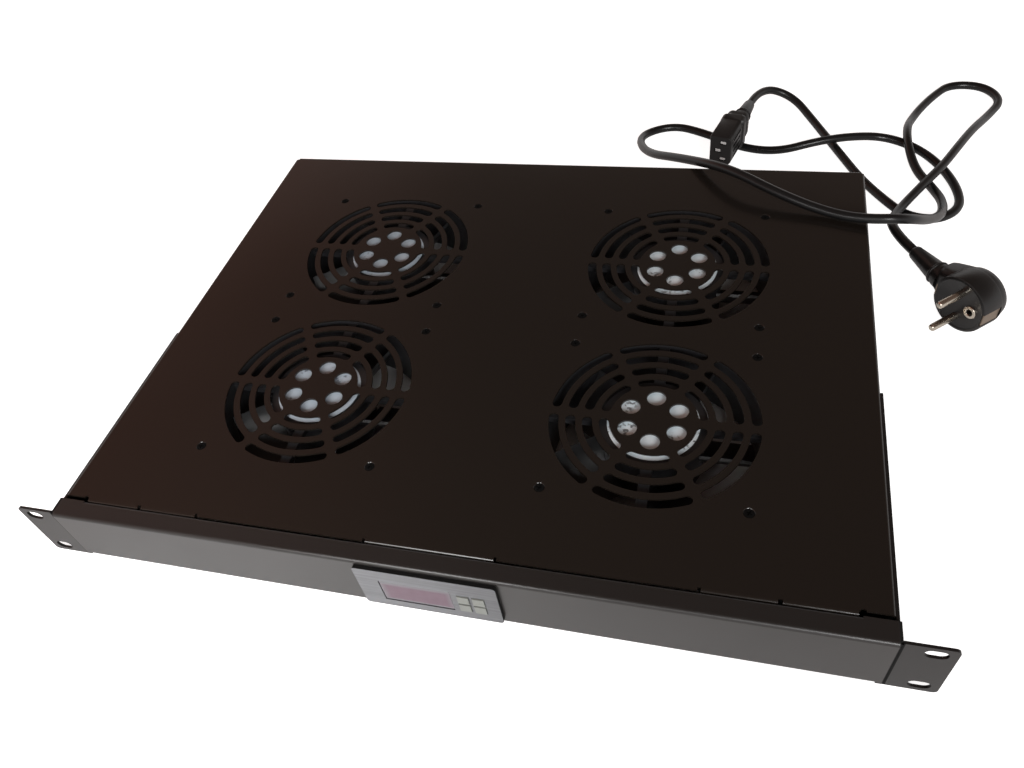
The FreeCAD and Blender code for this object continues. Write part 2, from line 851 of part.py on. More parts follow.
def build_impeller(word, x, y):
    body = new_body("impeller_%s" % word)
    radius = size("rotor_radius")
    cup = sketch_on(body, "XY_Plane", (0, 0, rotor_bottom))
    ring(cup, 0, 0, radius)
    pad(body, cup, size("rotor_height"))
    middle = (rotor_bottom + rotor_top) / 2
    blade = sketch_on(body, "YZ_Plane", (0, 0, radius - size("rotor_wall") + 0.3))
    reach = size("blade_reach")
    rise = size("blade_rise")
    thick = size("blade_thick")
    curve = size("blade_camber")
    outline(blade, [
        (-reach, middle + rise, curve, 1), (reach, middle - rise),
        (reach + thick * 0.6, middle - rise + thick * 0.8, curve - thick * 0.4, -1),
        (-reach + thick * 0.6, middle + rise + thick * 0.8),
    ])
    one = pad(body, blade, size("blade_tip_radius") - radius + 4)
    several(body, [one], [("polar", cup, "N_Axis", None, 5)])
    trim = sketch_on(body, "XY_Plane", (0, 0, rotor_top + 5))
    ring(trim, 0, 0, size("blade_tip_radius"))
    ring(trim, 0, 0, size("blade_tip_radius") + 12)
    pocket(body, trim, size("rotor_height") + 10)
    cavity = sketch_on(body, "XY_Plane", (0, 0, rotor_top + 5))
    ring(cavity, 0, 0, radius - size("rotor_wall"))
    pocket(body, cavity, size("rotor_height") + 5 - size("rotor_wall"))
    bore = sketch_on(body, "XY_Plane", (0, 0, rotor_bottom + size("rotor_wall")))
    ring(bore, 0, 0, size("shaft_radius") + glue)
    pocket(body, bore, size("rotor_wall"))
    move(body, x, y, 0)
    return body


def build_shaft(word, x, y):
    low = rotor_bottom
    stem = rod(0, 0, low, size("shaft_radius"), hub_bottom + 3 - low)
    collar = rod(0, 0, rotor_bottom + size("rotor_wall"), size("shaft_radius") * 2, 1.2)
    shaft = named(fuse([stem, collar]), "rotor_shaft_%s" % word)
    move(shaft, x, y, 0)
    return shaft


def build_fan_sets():
    bearings = []
    stators = []
    labels = []
    screws = []
    nuts = []
    tube = size("bearing_tube_radius")
    inside = tube - size("bearing_tube_wall")
    bottom = hub_bottom - size("bearing_tube_length")
    far = size("fan_holes") / 2
    for x, y in FANS.values():
        for level in (bottom + 1, hub_bottom - size("bearing_height")):
            outer = rod(x, y, level, inside - glue, size("bearing_height"))
            hole = rod(x, y, level - 1, size("shaft_radius") + size("shaft_running"),
                       size("bearing_height") + 2)
            bearings.append(cut(outer, [hole]))
        core = rod(x, y, bottom + 3, size("stator_radius"), size("stator_height"))
        bore = rod(x, y, bottom + 2, tube + glue, size("stator_height") + 2)
        stators.append(cut(core, [bore]))
        labels.append(rod(x, y, hub_top, size("label_radius"), size("label_thick")))
        for sx in (-1, 1):
            for sy in (-1, 1):
                px = x + sx * far
                py = y + sy * far
                head = cone(px, py, top - deck_sheet, size("screw_radius"),
                            size("screw_head_radius"), deck_sheet)
                stem = rod(px, py, top - size("screw_length"), size("screw_radius"),
                           size("screw_length") - deck_sheet)
                screws.append(fuse([head, stem]))
                level = plate_under - size("fan_flange") - size("nut_thick")
                nut = hexagon(px, py, level, size("nut_across"), size("nut_thick"))
                hole = rod(px, py, level - 1, size("screw_radius") + glue, size("nut_thick") + 2)
                nuts.append(cut(nut, [hole]))
    named(group(bearings), "fan_bearings")
    named(group(stators), "fan_stators")
    named(group(labels), "fan_labels")
    named(group(screws), "fan_screws")
    named(group(nuts), "fan_nuts")


# Controller in the front channel
def build_controller():
    f = channel_front
    plate_back = f - size("bezel_proud") + size("bezel_plate")
    body = new_body("controller_bezel")
    shell = sketch_on(body, "XZ_Plane", (0, 0, -f))
    soft_block(shell, control_x, control_z, size("bezel_width"), size("bezel_height"),
               size("bezel_corner"))
    pad(body, shell, size("bezel_proud"))
    wall = size("case_wall")
    inside_x = size("case_width") / 2 - wall
    inside_z = size("case_height") / 2 - wall
    recess = sketch_on(body, "XZ_Plane", (0, 0, -f))
    block(recess, control_x - inside_x, control_z - inside_z, control_x + inside_x,
          control_z + inside_z)
    pocket(body, recess, size("bezel_proud") - size("bezel_plate"))
    openings = sketch_on(body, "XZ_Plane", (0, 0, -plate_back))
    wx = size("window_offset")
    wz = size("window_height_offset")
    ww = size("window_width") / 2
    wh = size("window_high") / 2
    block(openings, wx - ww, wz - wh, wx + ww, wz + wh)
    bw = size("button_width") / 2
    bh = size("button_high") / 2
    gap = size("button_clearance")
    left = size("button_left")
    high = size("button_top")
    right = left + size("button_pitch_across")
    low = high - size("button_pitch_down")
    places = {
        "button_up": (left, high),
        "button_down": (left, low),
        "button_set": (right, high),
        "button_power": (right, low),
    }
    for bx, bz in places.values():
        block(openings, bx - bw - gap, bz - bh - gap, bx + bw + gap, bz + bh + gap)
    pocket(body, openings, size("bezel_plate") + 0.3)
    pane = box(wx - ww + 0.3, plate_back - 1, wz - wh + 0.3, ww * 2 - 0.6, 1, wh * 2 - 0.6)
    edge = box(wx - ww - 1.5, plate_back, wz - wh - 0.9, ww * 2 + 3, 0.8, wh * 2 + 1.8)
    named(fuse([pane, edge]), "display_window")
    travel = size("button_travel")
    for label, (bx, bz) in places.items():
        cap = box(bx - bw, plate_back - size("bezel_plate") - 0.7, bz - bh, bw * 2,
                  size("bezel_plate") + 0.8, bh * 2)
        flange = box(bx - bw - 0.75, plate_back + 0.1, bz - bh - 0.55, bw * 2 + 1.5, 0.8,
                     bh * 2 + 1.1)
        named(fuse([cap, flange]), label)
    mat_front = plate_back + 0.9 + travel + 0.1
    mat = box(left - 4.3, mat_front, low - 4.3, size("button_pitch_across") + 8.6, 0.9,
              size("button_pitch_down") + 8.6)
    named(mat, "button_membrane")
    screen = box(wx - ww - 1.5, plate_back + 0.9, wz - wh - 0.8, ww * 2 + 3,
                 mat_front - plate_back, wh * 2 + 1.6)
    board = box(control_x - inside_x + 0.5, mat_front + 0.9, control_z - inside_z + 0.3,
                inside_x * 2 - 1, 1.4, inside_z * 2 - 0.6)
    named(fuse([screen, board]), "display_module")
    cx = control_x - size("case_width") / 2
    cz = control_z - size("case_height") / 2
    depth = size("case_depth")
    outer = box(cx, f, cz, size("case_width"), depth, size("case_height"))
    inner = box(cx + wall, f - 1, cz + wall, inside_x * 2, depth - wall + 1, inside_z * 2)
    exit_cut = box(control_x - 25, f + depth - 3, control_z - 5, 50, 5, 9)
    vents = []
    for step in range(5):
        vents.append(box(cx - 1, f + 30 + step * 6, control_z - 7, 3.5, 2, 14))
        vents.append(box(-cx - 2, f + 30 + step * 6, control_z - 7, 4.5, 2, 14))
    named(cut(outer, [inner, exit_cut] + vents), "controller_case")
    main = box(control_x - 32, mat_front + 3, control_z - 11, 64, 76, 1.6)
    relay = box(control_x - 24, mat_front + 40, control_z - 9.4, 19, 15, 15)
    coil = box(control_x + 2, mat_front + 34, control_z - 9.4, 22, 26, 17)
    named(fuse([main, relay, coil]), "controller_board")
    strip = box(control_x - 30, f + depth, control_z - 7, 60, 11, 12)
    seats = []
    heads = []
    for step in range(8):
        px = control_x - 26.25 + step * 7.5
        seats.append(rod(px, f + depth + 5.5, control_z + 3.2, 2.4, 3))
        seats.append(rod(px, f + depth + 7, control_z - 3.5, 2.1, 5, "y"))
        head = rod(px, f + depth + 5.5, control_z + 3.2, 2.0, 1.2)
        groove = box(px - 3, f + depth + 5.2, control_z + 4, 6, 0.6, 1)
        heads.append(cut(head, [groove]))
    named(cut(strip, seats), "controller_terminals")
    named(group(heads), "terminal_screws")
    clips = []
    for side in (-1, 1):
        far = control_x + side * (size("case_width") / 2)
        if side > 0:
            clips.append(fuse([
                box(far, channel_back, control_z - 4, 2.4, 3, 8),
                box(far, channel_back + 3, control_z - 4, 0.8, 12, 8),
            ]))
        else:
            clips.append(fuse([
                box(far - 2.4, channel_back, control_z - 4, 2.4, 3, 8),
                box(far - 0.8, channel_back + 3, control_z - 4, 0.8, 12, 8),
            ]))
    named(group(clips), "panel_clips")


# Inlet and terminal block on the rear wall
def build_power():
    x = inlet_x
    wide = size("inlet_width")
    high = size("inlet_high")
    depth = size("inlet_depth")
    flange = size("inlet_flange")
    pitch = size("inlet_screw_pitch") / 2
    body = new_body("inlet_body")
    front = sketch_on(body, "XZ_Plane", (0, 0, -rear))
    soft_block(front, x, 0, size("inlet_screw_pitch") + 10, high + 3, Size(4, "4"))
    pad(body, front, flange, True)
    trunk = sketch_on(body, "XZ_Plane", (0, 0, -rear))
    block(trunk, x - wide / 2, -high / 2, x + wide / 2, high / 2)
    pad(body, trunk, depth)
    mouth = sketch_on(body, "XZ_Plane", (0, 0, -(rear + flange)))
    w = wide / 2 - 1.5
    h = high / 2 - 1.5
    outline(mouth, [
        (x - w + 4, -h), (x + w - 4, -h), (x + w, -h + 4), (x + w, h), (x - w, h), (x - w, -h + 4),
    ])
    pocket(body, mouth, size("inlet_depth") - 4)
    pins = []
    slits = sketch_on(body, "XZ_Plane", (0, 0, -(rear - depth)))
    for dx, dz in ((-7, -2), (0, 2), (7, -2)):
        block(slits, x + dx - 1.1, dz - 2.1, x + dx + 1.1, dz + 2.1)
        blade = box(x + dx - 1, rear - depth - 2, dz - 2, 2, depth + 1, 4)
        tab = box(x + dx - 0.4, rear - depth - 10, dz - 3.1, 0.8, 8.2, 6.2)
        pins.append(fuse([blade, tab]))
    pocket(body, slits, depth - 15)
    named(group(pins), "inlet_pins")
    sunk = sketch_on(body, "XZ_Plane", (0, 0, -(rear + flange)))
    ring(sunk, x - pitch, 0, size("screw_radius") + glue)
    ring(sunk, x + pitch, 0, size("screw_radius") + glue)
    pocket(body, sunk, flange)
    sinks = sketch_on(body, "XZ_Plane", (0, 0, -(rear + flange)))
    ring(sinks, x - pitch, 0, size("screw_head_radius") + glue)
    ring(sinks, x + pitch, 0, size("screw_head_radius") + glue)
    pocket(body, sinks, 1.6)
    screws = []
    nuts = []
    for side in (-1, 1):
        px = x + side * pitch
        head = rod(px, rear + flange - 1.6, 0, size("screw_head_radius"), 1.3, "y")
        stem = rod(px, rear + flange - 1.6 - 9, 0, size("screw_radius"), 9.1, "y")
        cross = box(px - 1.6, rear + flange - 0.9, -0.3, 3.2, 1, 0.6)
        screws.append(cut(fuse([head, stem]), [cross]))
        level = rear - deck_sheet - size("nut_thick")
        nut = hexagon(px, level, 0, size("nut_across"), size("nut_thick"), "y")
        hole = rod(px, level - 1, 0, size("screw_radius") + glue, size("nut_thick") + 2, "y")
        nuts.append(cut(nut, [hole]))
    named(group(screws), "inlet_screws")
    named(group(nuts), "inlet_nuts")
    inner = rear - deck_sheet
    block_box = box(62, inner - 16, -8, 60, 16, 16)
    wells = []
    heads = []
    for step in range(6):
        px = 67.0 + step * 10
        wells.append(rod(px, inner - 9, 5, 2.6, 4))
        wells.append(rod(px, inner - 17, -2, 2.2, 5, "y"))
        head = rod(px, inner - 9, 5, 2.2, 1.6)
        groove = box(px - 3, inner - 9.4, 6, 6, 0.8, 1)
        heads.append(cut(head, [groove]))
    named(cut(block_box, wells), "terminal_block")
    named(group(heads), "terminal_block_screws")
    head = rod(190, inner - 2.4, -8, 4, 2.4, "y")
    stem = rod(190, inner - 0.5, -8, 2.0, 6.5, "y")
    named(fuse([head, stem]), "earth_screw")


# Leads inside the tray
def build_inner_leads():
    face = plain(rear) - plain(deck_sheet) - 16
    edge = plain(fan_across) - plain(size("fan_side")) / 2 - 0.2
    front = plain(fan_front)
    back = plain(fan_rear)
    ahead = plain(channel_front) + plain(size("case_depth")) + 11
    fan_leads = [
        [(-edge, front, -16), (-26, front + 8, -16), (-13, front + 34, -16), (-15, 190, -16),
         (-13, 240, -16), (-8, 282, -16), (14, 307, -16), (44, 306, -12), (62, 310, -5),
         (67, face, -2)],
        [(-edge, back, -9), (-27, back + 8, -9), (-20, back + 34, -9), (-6, 296, -9),
         (20, 302, -8), (54, 302, -4), (73, 309, -2), (77, face, -2)],
        [(edge, front, -5), (26, front + 8, -5), (13, front + 34, -5), (15, 190, -5),
         (13, 240, -5), (20, 278, -4), (46, 297, 0), (78, 303, 1), (87, face, -2)],
        [(edge, back, -5), (30, back + 10, 0), (28, back + 34, 6), (42, 289.5, 9),
         (64, 299, 9), (90, 303, 6), (97, face, -2)],
    ]
    tubes = []
    for step, points in enumerate(fan_leads):
        tubes.append(lead_tube(points, 2.4, "fan lead %d" % (step + 1)))
    lead_piece("fan_leads", tubes)
    start = plain(rear) - plain(size("inlet_depth")) - 10.6
    line = [(143, start, -2), (141, 303, -3), (128, 300, -3), (118, 309, -3), (117, face, -2)]
    mate = [(157, start, -2), (156, 304, -9), (142, 299, -13), (120, 301, -12), (108, 309, -6),
            (107, face, -2)]
    supply = [(104, 301, 14), (80, 300.5, 15), (50, 300, 15), (20, 294, 14), (3, 270, 10),
              (0, 235, 4), (0, 180, 0), (0, 130, -2), (0, ahead, -2)]
    lead_piece("supply_lead", [
        lead_tube(line, 2.6, "line wire"),
        lead_tube(mate, 2.6, "second wire"),
    ])
    supply_points = [(112, face - 0.8, 4.5), (112, 313, 9)] + supply
    lead_piece("control_lead", [lead_tube(supply_points, 4.0, "control lead")])
    probe = [(-16, ahead, -2), (-17, 118, 0), (-24, 140, 5), (-28, 170, 9), (-28.5, 200, 10)]
    lead_piece("probe_lead", [lead_tube(probe, 2.2, "probe lead")])
    tip = rod(-28.5, 200, 10, 2.6, 22, "y")
    named(tip, "probe_tip")
    earth = [(150, start, 2), (152, 302, 0), (164, 298, -4), (180, 304, -7), (189, 318, -8),
             (190, plain(rear) - plain(deck_sheet) - 2.4, -8)]
    lead_piece("earth_lead", [lead_tube(earth, 2.6, "earth lead")])


# Mains lead behind and beside the tray, with its two moulded ends.
# Each point is x, y and the height above the floor.
CORD_POINTS = [
    (136.5, 470, 20.6), (144.3, 498, 20.6), (171, 503, 10), (190, 472, 3.3), (207.5, 430, 3.3),
    (223, 393, 3.3), (238, 368, 3.3), (252, 349, 3.3), (273, 346, 3.3), (289, 361, 3.3),
    (289, 386, 3.3), (280, 415, 3.3), (264, 439, 3.3), (241, 450, 5), (214, 440, 10.5),
    (190, 432, 10.5), (162, 427, 4), (134, 432, 3.3), (103, 453, 3.3), (75, 465, 3.3),
    (47, 448, 3.3), (58.4, 402.3, 16), (91.7, 357.3, 42), (126.2, 322.2, 58), (157.9, 303.2, 53),
    (188, 292, 47.5), (211, 285, 47.5), (238, 284, 50), (258, 311, 29), (272, 338, 14),
    (276, 362, 8), (271, 386, 3.8), (262, 408, 3.3), (257, 430, 10.5), (258, 454, 10.5),
    (264, 476, 4), (273, 496, 3.3), (285, 516, 3.3), (298.5, 533, 3.3), (324, 531, 3.3),
    (335, 508.5, 3.3), (322, 485, 3.3), (306, 456, 9), (292, 427, 12), (279, 401, 12),
    (262, 374, 12), (245, 346, 11), (234, 316.3, 19), (249.4, 290.6, 19),
]


def spin(body, sketch):
    """A turned form about the sketch's upright axis."""
    feature = body.newObject("PartDesign::Revolution", fresh("Turning"))
    feature.Profile = sketch
    feature.ReferenceAxis = (sketch, ["V_Axis"])
    feature.Angle = 360
    return feature


def free_place(thing, placement):
    """Puts a simple solid at a worked-out place."""
    for axis in "xyz":
        thing.setExpression("Placement.Base.%s" % axis, None)
    thing.Placement = placement


# Appliance connector: nose with three slots, two grip collars and a tapered boot
def build_connector(first, way):
    heading = math.degrees(math.atan2(-way.x, way.y))
    place = FreeCAD.Placement(first, FreeCAD.Rotation(FreeCAD.Vector(0, 0, 1), heading))
    body = new_body("connector_body")
    nose = sketch_on(body, "XZ_Plane", (0, 0, 72))
    outline(nose, [
        (-8.6, -12.4), (4.6, -12.4), (8.6, -8.4), (8.6, 8.4), (4.6, 12.4), (-8.6, 12.4),
    ])
    pad(body, nose, 26, True)
    for near, wide, high, deep in ((46, 19.6, 26, 7), (39, 16, 22, 5), (34, 17.6, 21, 6)):
        collar = sketch_on(body, "XZ_Plane", (0, 0, near))
        soft_block(collar, 0, 0, wide, high, 4)
        pad(body, collar, deep, True)
    slots = sketch_on(body, "XZ_Plane", (0, 0, 72))
    for u, v in ((2, -7), (-2, 0), (2, 7)):
        block(slots, u - 2.4, v - 1.4, u + 2.4, v + 1.4)
    pocket(body, slots, 18)
    body.Placement = place
    boot = named(cone(0, 0, 0, 7.4, 4.4, 27.8, "y"), "connector_boot")
    tilt = FreeCAD.Placement(FreeCAD.Vector(0, -28, 0),
                             FreeCAD.Rotation(FreeCAD.Vector(1, 0, 0), -90))
    free_place(boot, place.multiply(tilt))
    grips = []
    for u, v in ((2, -7), (-2, 0), (2, 7)):
        grips.append(cut(box(u - 2.3, -69, v - 1.3, 4.6, 14, 2.6),
                         [box(u - 1.9, -70, v - 0.7, 3.8, 13, 1.4)]))
    contacts = named(group(grips), "connector_contacts")
    contacts.Placement = place


# Angled earthed plug: turned body, wedge neck, socket, two earth clips and two pins
def build_plug(last, way):
    radius = size("plug_radius")
    half = size("plug_thick") / 2
    heading = math.degrees(math.atan2(way.y, way.x))
    start = last - way * 28
    lean = math.radians(heading + 10)
    centre = start - FreeCAD.Vector(math.cos(lean), math.sin(lean), 0) * 24
    place = FreeCAD.Placement(centre, FreeCAD.Rotation(FreeCAD.Vector(0, 0, 1), heading + 10))
    body = new_body("plug_body")
    side = sketch_on(body, "XY_Plane")
    outline(side, [
        (0, -half), (radius - 6.7, -half), (radius - 2.2, -half + 3), (radius - 1, -3.4),
        (radius, -2.4), (radius, half - 1.2), (radius - 1.2, half), (0, half),
    ])
    spin(body, side)
    neck = sketch_on(body, "XZ_Plane", (0, 0, 9))
    outline(neck, [(0, -15.5), (22.5, -8.8), (22.5, 8.8), (0, 15.5)])
    pad(body, neck, 18, True)
    socket = sketch_on(body, "XZ_Plane", (0, 0, -half))
    ring(socket, 5.5, 0, 2.6)
    pocket(body, socket, 6)
    flats = sketch_on(body, "XZ_Plane", (0, 0, -half))
    block(flats, radius - 1.6, -4.5, radius + 3, 4.5)
    block(flats, -radius - 3, -4.5, -radius + 1.6, 4.5)
    pocket(body, flats, 14)
    body.Placement = place
    pins = []
    for sign in (-1, 1):
        pins.append(rod(0, half, sign * 9.5, 2.4, 19, "y"))
    pins = named(group(pins), "plug_pins")
    pins.Placement = place
    clips = [box(radius - 1.6, half - 13.5, -4, 0.8, 13, 8),
             box(-radius + 0.8, half - 13.5, -4, 0.8, 13, 8)]
    clips = named(group(clips), "plug_earth_clips")
    clips.Placement = place
    boot = named(cone(0, 0, 0, 8.2, 4.6, 27.8, "x"), "plug_boot")
    free_place(boot, FreeCAD.Placement(start, FreeCAD.Rotation(FreeCAD.Vector(0, 0, 1), way)))


def build_mains_lead():
    base = plain(floor)
    points = [(x, y, base + height) for x, y, height in CORD_POINTS]
    lead_piece("mains_cord", [lead_tube(points, plain(size("cord_diameter")), "mains cord")])
    line = [FreeCAD.Vector(*point) for point in points]
    build_connector(line[0], (line[1] - line[0]).normalize())
    build_plug(line[-1], (line[-2] - line[-1]).normalize())


build_deck()
build_channel()
build_ear("left_ear", -1)
build_ear("right_ear", 1)
build_rivets()
for word, (x, y) in FANS.items():
    build_fan_frame(word, x, y)
    build_impeller(word, x, y)
    build_shaft(word, x, y)
build_fan_sets()
build_controller()
build_power()
build_inner_leads()
build_mains_lead()
doc.recompute()

# Every object is checked before anything is written
broken = []
for thing in doc.Objects:
    if "Invalid" in thing.State or "Error" in thing.State:
        broken.append(thing.Label)
for label, thing in NODES.items():
    if thing.Shape.isNull() or not thing.Shape.isValid():
        broken.append(label)
if broken:
    raise ValueError("broken pieces: %s" % ", ".join(broken))
for label, thing in NODES.items():
    thing.Shape.exportStep("parts/%s.step" % label)
print("pieces written: %d" % len(NODES))
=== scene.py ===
import json
import math
import bmesh
import bpy
from mathutils import Matrix, Vector


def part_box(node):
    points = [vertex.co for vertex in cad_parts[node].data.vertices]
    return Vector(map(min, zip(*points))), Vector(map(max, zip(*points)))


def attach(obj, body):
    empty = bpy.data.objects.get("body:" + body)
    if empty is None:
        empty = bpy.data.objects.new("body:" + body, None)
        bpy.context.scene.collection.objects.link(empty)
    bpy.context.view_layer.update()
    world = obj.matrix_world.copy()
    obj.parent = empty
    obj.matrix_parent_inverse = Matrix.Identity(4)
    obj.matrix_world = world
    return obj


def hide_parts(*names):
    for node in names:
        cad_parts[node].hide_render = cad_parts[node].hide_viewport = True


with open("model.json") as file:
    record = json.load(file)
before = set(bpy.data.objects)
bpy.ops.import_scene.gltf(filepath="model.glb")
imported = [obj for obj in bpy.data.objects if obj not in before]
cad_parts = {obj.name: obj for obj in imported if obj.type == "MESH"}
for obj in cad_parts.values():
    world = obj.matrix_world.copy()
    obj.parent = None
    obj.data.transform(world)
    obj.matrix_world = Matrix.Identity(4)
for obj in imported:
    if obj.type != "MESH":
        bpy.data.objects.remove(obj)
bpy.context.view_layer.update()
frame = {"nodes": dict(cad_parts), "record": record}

# A one-unit rack fan tray with its mains lead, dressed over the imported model.
# Lengths are in metres; MM turns millimetres into metres.

MM = 0.001
NODES = frame["nodes"]
SLOT_OF = {row["node"]: row["material_slot"] for row in frame["record"]["subparts"]}
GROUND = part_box("fan_deck")[0].z

# Sizes and offsets of the pieces in millimetres, and the plug's lean in degrees
SCREW_HALF_PITCH = 52.5
SCREW_SINK = 0.02
CHANNEL_SEAM = 217.9
EAR_SEAM = 218.5
BOOT_LENGTH = 28
PLUG_REACH = 24
PLUG_LEAN = 10
SOCKET_OFFSET = -8.5
PIN_OFFSET = 9.5
CONTACT_PLACES = ((2, -7), (-2, 0), (2, 7))

# The four fans, and the angle above which an edge stays sharp
FANS = ("front_left", "front_right", "rear_left", "rear_right")
SHARP_EDGE = math.radians(35)


# Camera at the photograph's angle
def set_camera():
    lens = bpy.data.cameras.new("photo_camera")
    lens.sensor_width = 36.0
    lens.lens = 28.92
    lens.clip_start = 0.01
    camera = bpy.data.objects.new("photo_camera", lens)
    bpy.context.scene.collection.objects.link(camera)
    right = Vector((0.965857, 0.227152, -0.124588))
    up = Vector((-0.089268, 0.743238, 0.663045))
    behind = Vector((0.243210, -0.629285, 0.738139))
    camera.matrix_world = Matrix((
        (right.x, up.x, behind.x, 132.755 * MM),
        (right.y, up.y, behind.y, -177.028 * MM),
        (right.z, up.z, behind.z, 373.329 * MM),
        (0, 0, 0, 1),
    ))
    bpy.context.scene.camera = camera


set_camera()


# Mains lead: x, y and the height above the ground, in millimetres, as in the part's source
CORD_WIDTH = 6.4 * MM
CORD_POINTS = [
    (136.5, 470, 20.6), (144.3, 498, 20.6), (171, 503, 10), (190, 472, 3.3), (207.5, 430, 3.3),
    (223, 393, 3.3), (238, 368, 3.3), (252, 349, 3.3), (273, 346, 3.3), (289, 361, 3.3),
    (289, 386, 3.3), (280, 415, 3.3), (264, 439, 3.3), (241, 450, 5), (214, 440, 10.5),
    (190, 432, 10.5), (162, 427, 4), (134, 432, 3.3), (103, 453, 3.3), (75, 465, 3.3),
    (47, 448, 3.3), (58.4, 402.3, 16), (91.7, 357.3, 42), (126.2, 322.2, 58), (157.9, 303.2, 53),
    (188, 292, 47.5), (211, 285, 47.5), (238, 284, 50), (258, 311, 29), (272, 338, 14),
    (276, 362, 8), (271, 386, 3.8), (262, 408, 3.3), (257, 430, 10.5), (258, 454, 10.5),
    (264, 476, 4), (273, 496, 3.3), (285, 516, 3.3), (298.5, 533, 3.3), (324, 531, 3.3),
    (335, 508.5, 3.3), (322, 485, 3.3), (306, 456, 9), (292, 427, 12), (279, 401, 12),
    (262, 374, 12), (245, 346, 11), (234, 316.3, 19), (249.4, 290.6, 19),
]
ROUTE = [Vector((x * MM, y * MM, GROUND + height * MM)) for x, y, height in CORD_POINTS]


def smooth_route(name, points, width):
    """A round lead on one smooth spline with the points as its control points."""
    curve = bpy.data.curves.new(name, "CURVE")
    curve.dimensions = "3D"
    curve.bevel_depth = width / 2
    curve.bevel_resolution = 4
    curve.resolution_u = 10
    curve.use_fill_caps = True
    spline = curve.splines.new("NURBS")
    spline.points.add(len(points) - 1)
    for place, point in zip(spline.points, points):
        place.co = (point.x, point.y, point.z, 1)
    spline.order_u = 3
    spline.use_endpoint_u = True
    piece = bpy.data.objects.new(name, curve)
    bpy.context.scene.collection.objects.link(piece)
    return piece


mains_cord = smooth_route("mains_cord_sheath", ROUTE, CORD_WIDTH)


# Surface effects shared by the finishes
def new_group(name, inputs, outputs):
    """A shader group with named sockets."""
    tree = bpy.data.node_groups.new(name, "ShaderNodeTree")
    for label, kind, start in inputs:
        socket = tree.interface.new_socket(label, in_out="INPUT", socket_type=kind)
        socket.default_value = start
    for label, kind in outputs:
        tree.interface.new_socket(label, in_out="OUTPUT", socket_type=kind)
    return tree, tree.nodes.new("NodeGroupInput"), tree.nodes.new("NodeGroupOutput")


def shade_between(tree, give, take, share, low=0.0, high=1.0):
    """Colour and roughness between their two values by one share."""
    link = tree.links.new
    blend = tree.nodes.new("ShaderNodeMix")
    blend.data_type = "RGBA"
    link(share, blend.inputs["Factor"])
    link(give.outputs["Colour"], blend.inputs["A"])
    link(give.outputs["Second Colour"], blend.inputs["B"])
    link(blend.outputs["Result"], take.inputs["Colour"])
    spread = tree.nodes.new("ShaderNodeMapRange")
    spread.inputs["From Min"].default_value = low
    spread.inputs["From Max"].default_value = high
    link(share, spread.inputs["Value"])
    link(give.outputs["Smooth"], spread.inputs["To Min"])
    link(give.outputs["Rough"], spread.inputs["To Max"])
    link(spread.outputs["Result"], take.inputs["Roughness"])


def grain_group():
    """Fine grain, broad shading and a slight unevenness of the gloss."""
    tree, give, take = new_group("surface_grain", [
        ("Colour", "NodeSocketColor", (0.5, 0.5, 0.5, 1)),
        ("Second Colour", "NodeSocketColor", (0.4, 0.4, 0.4, 1)),
        ("Smooth", "NodeSocketFloat", 0.3),
        ("Rough", "NodeSocketFloat", 0.5),
        ("Grain", "NodeSocketFloat", 900.0),
        ("Cloud", "NodeSocketFloat", 12.0),
        ("Relief", "NodeSocketFloat", 0.1),
    ], [
        ("Colour", "NodeSocketColor"),
        ("Roughness", "NodeSocketFloat"),
        ("Normal", "NodeSocketVector"),
    ])
    link = tree.links.new
    place = tree.nodes.new("ShaderNodeTexCoord")
    fine = tree.nodes.new("ShaderNodeTexNoise")
    fine.inputs["Detail"].default_value = 3.0
    link(place.outputs["Object"], fine.inputs["Vector"])
    link(give.outputs["Grain"], fine.inputs["Scale"])
    broad = tree.nodes.new("ShaderNodeTexNoise")
    broad.inputs["Detail"].default_value = 4.0
    link(place.outputs["Object"], broad.inputs["Vector"])
    link(give.outputs["Cloud"], broad.inputs["Scale"])
    shade_between(tree, give, take, broad.outputs["Fac"], 0.3, 0.7)
    bump = tree.nodes.new("ShaderNodeBump")
    bump.inputs["Distance"].default_value = 0.2 * MM
    link(fine.outputs["Fac"], bump.inputs["Height"])
    link(give.outputs["Relief"], bump.inputs["Strength"])
    link(bump.outputs["Normal"], take.inputs["Normal"])
    return tree


def brushed_group():
    """Long fine scratches along one axis, for drawn and turned metal."""
    tree, give, take = new_group("drawn_metal", [
        ("Colour", "NodeSocketColor", (0.6, 0.6, 0.6, 1)),
        ("Second Colour", "NodeSocketColor", (0.5, 0.5, 0.5, 1)),
        ("Smooth", "NodeSocketFloat", 0.2),
        ("Rough", "NodeSocketFloat", 0.45),
        ("Lines", "NodeSocketFloat", 1500.0),
        ("Stretch", "NodeSocketVector", (1.0, 0.06, 1.0)),
    ], [
        ("Colour", "NodeSocketColor"),
        ("Roughness", "NodeSocketFloat"),
    ])
    link = tree.links.new
    place = tree.nodes.new("ShaderNodeTexCoord")
    stretch = tree.nodes.new("ShaderNodeMapping")
    link(give.outputs["Stretch"], stretch.inputs["Scale"])
    link(place.outputs["Object"], stretch.inputs["Vector"])
    lines = tree.nodes.new("ShaderNodeTexNoise")
    lines.inputs["Detail"].default_value = 2.0
    link(stretch.outputs["Vector"], lines.inputs["Vector"])
    link(give.outputs["Lines"], lines.inputs["Scale"])
    shade_between(tree, give, take, lines.outputs["Fac"])
    return tree


GRAIN = grain_group()
DRAWN = brushed_group()


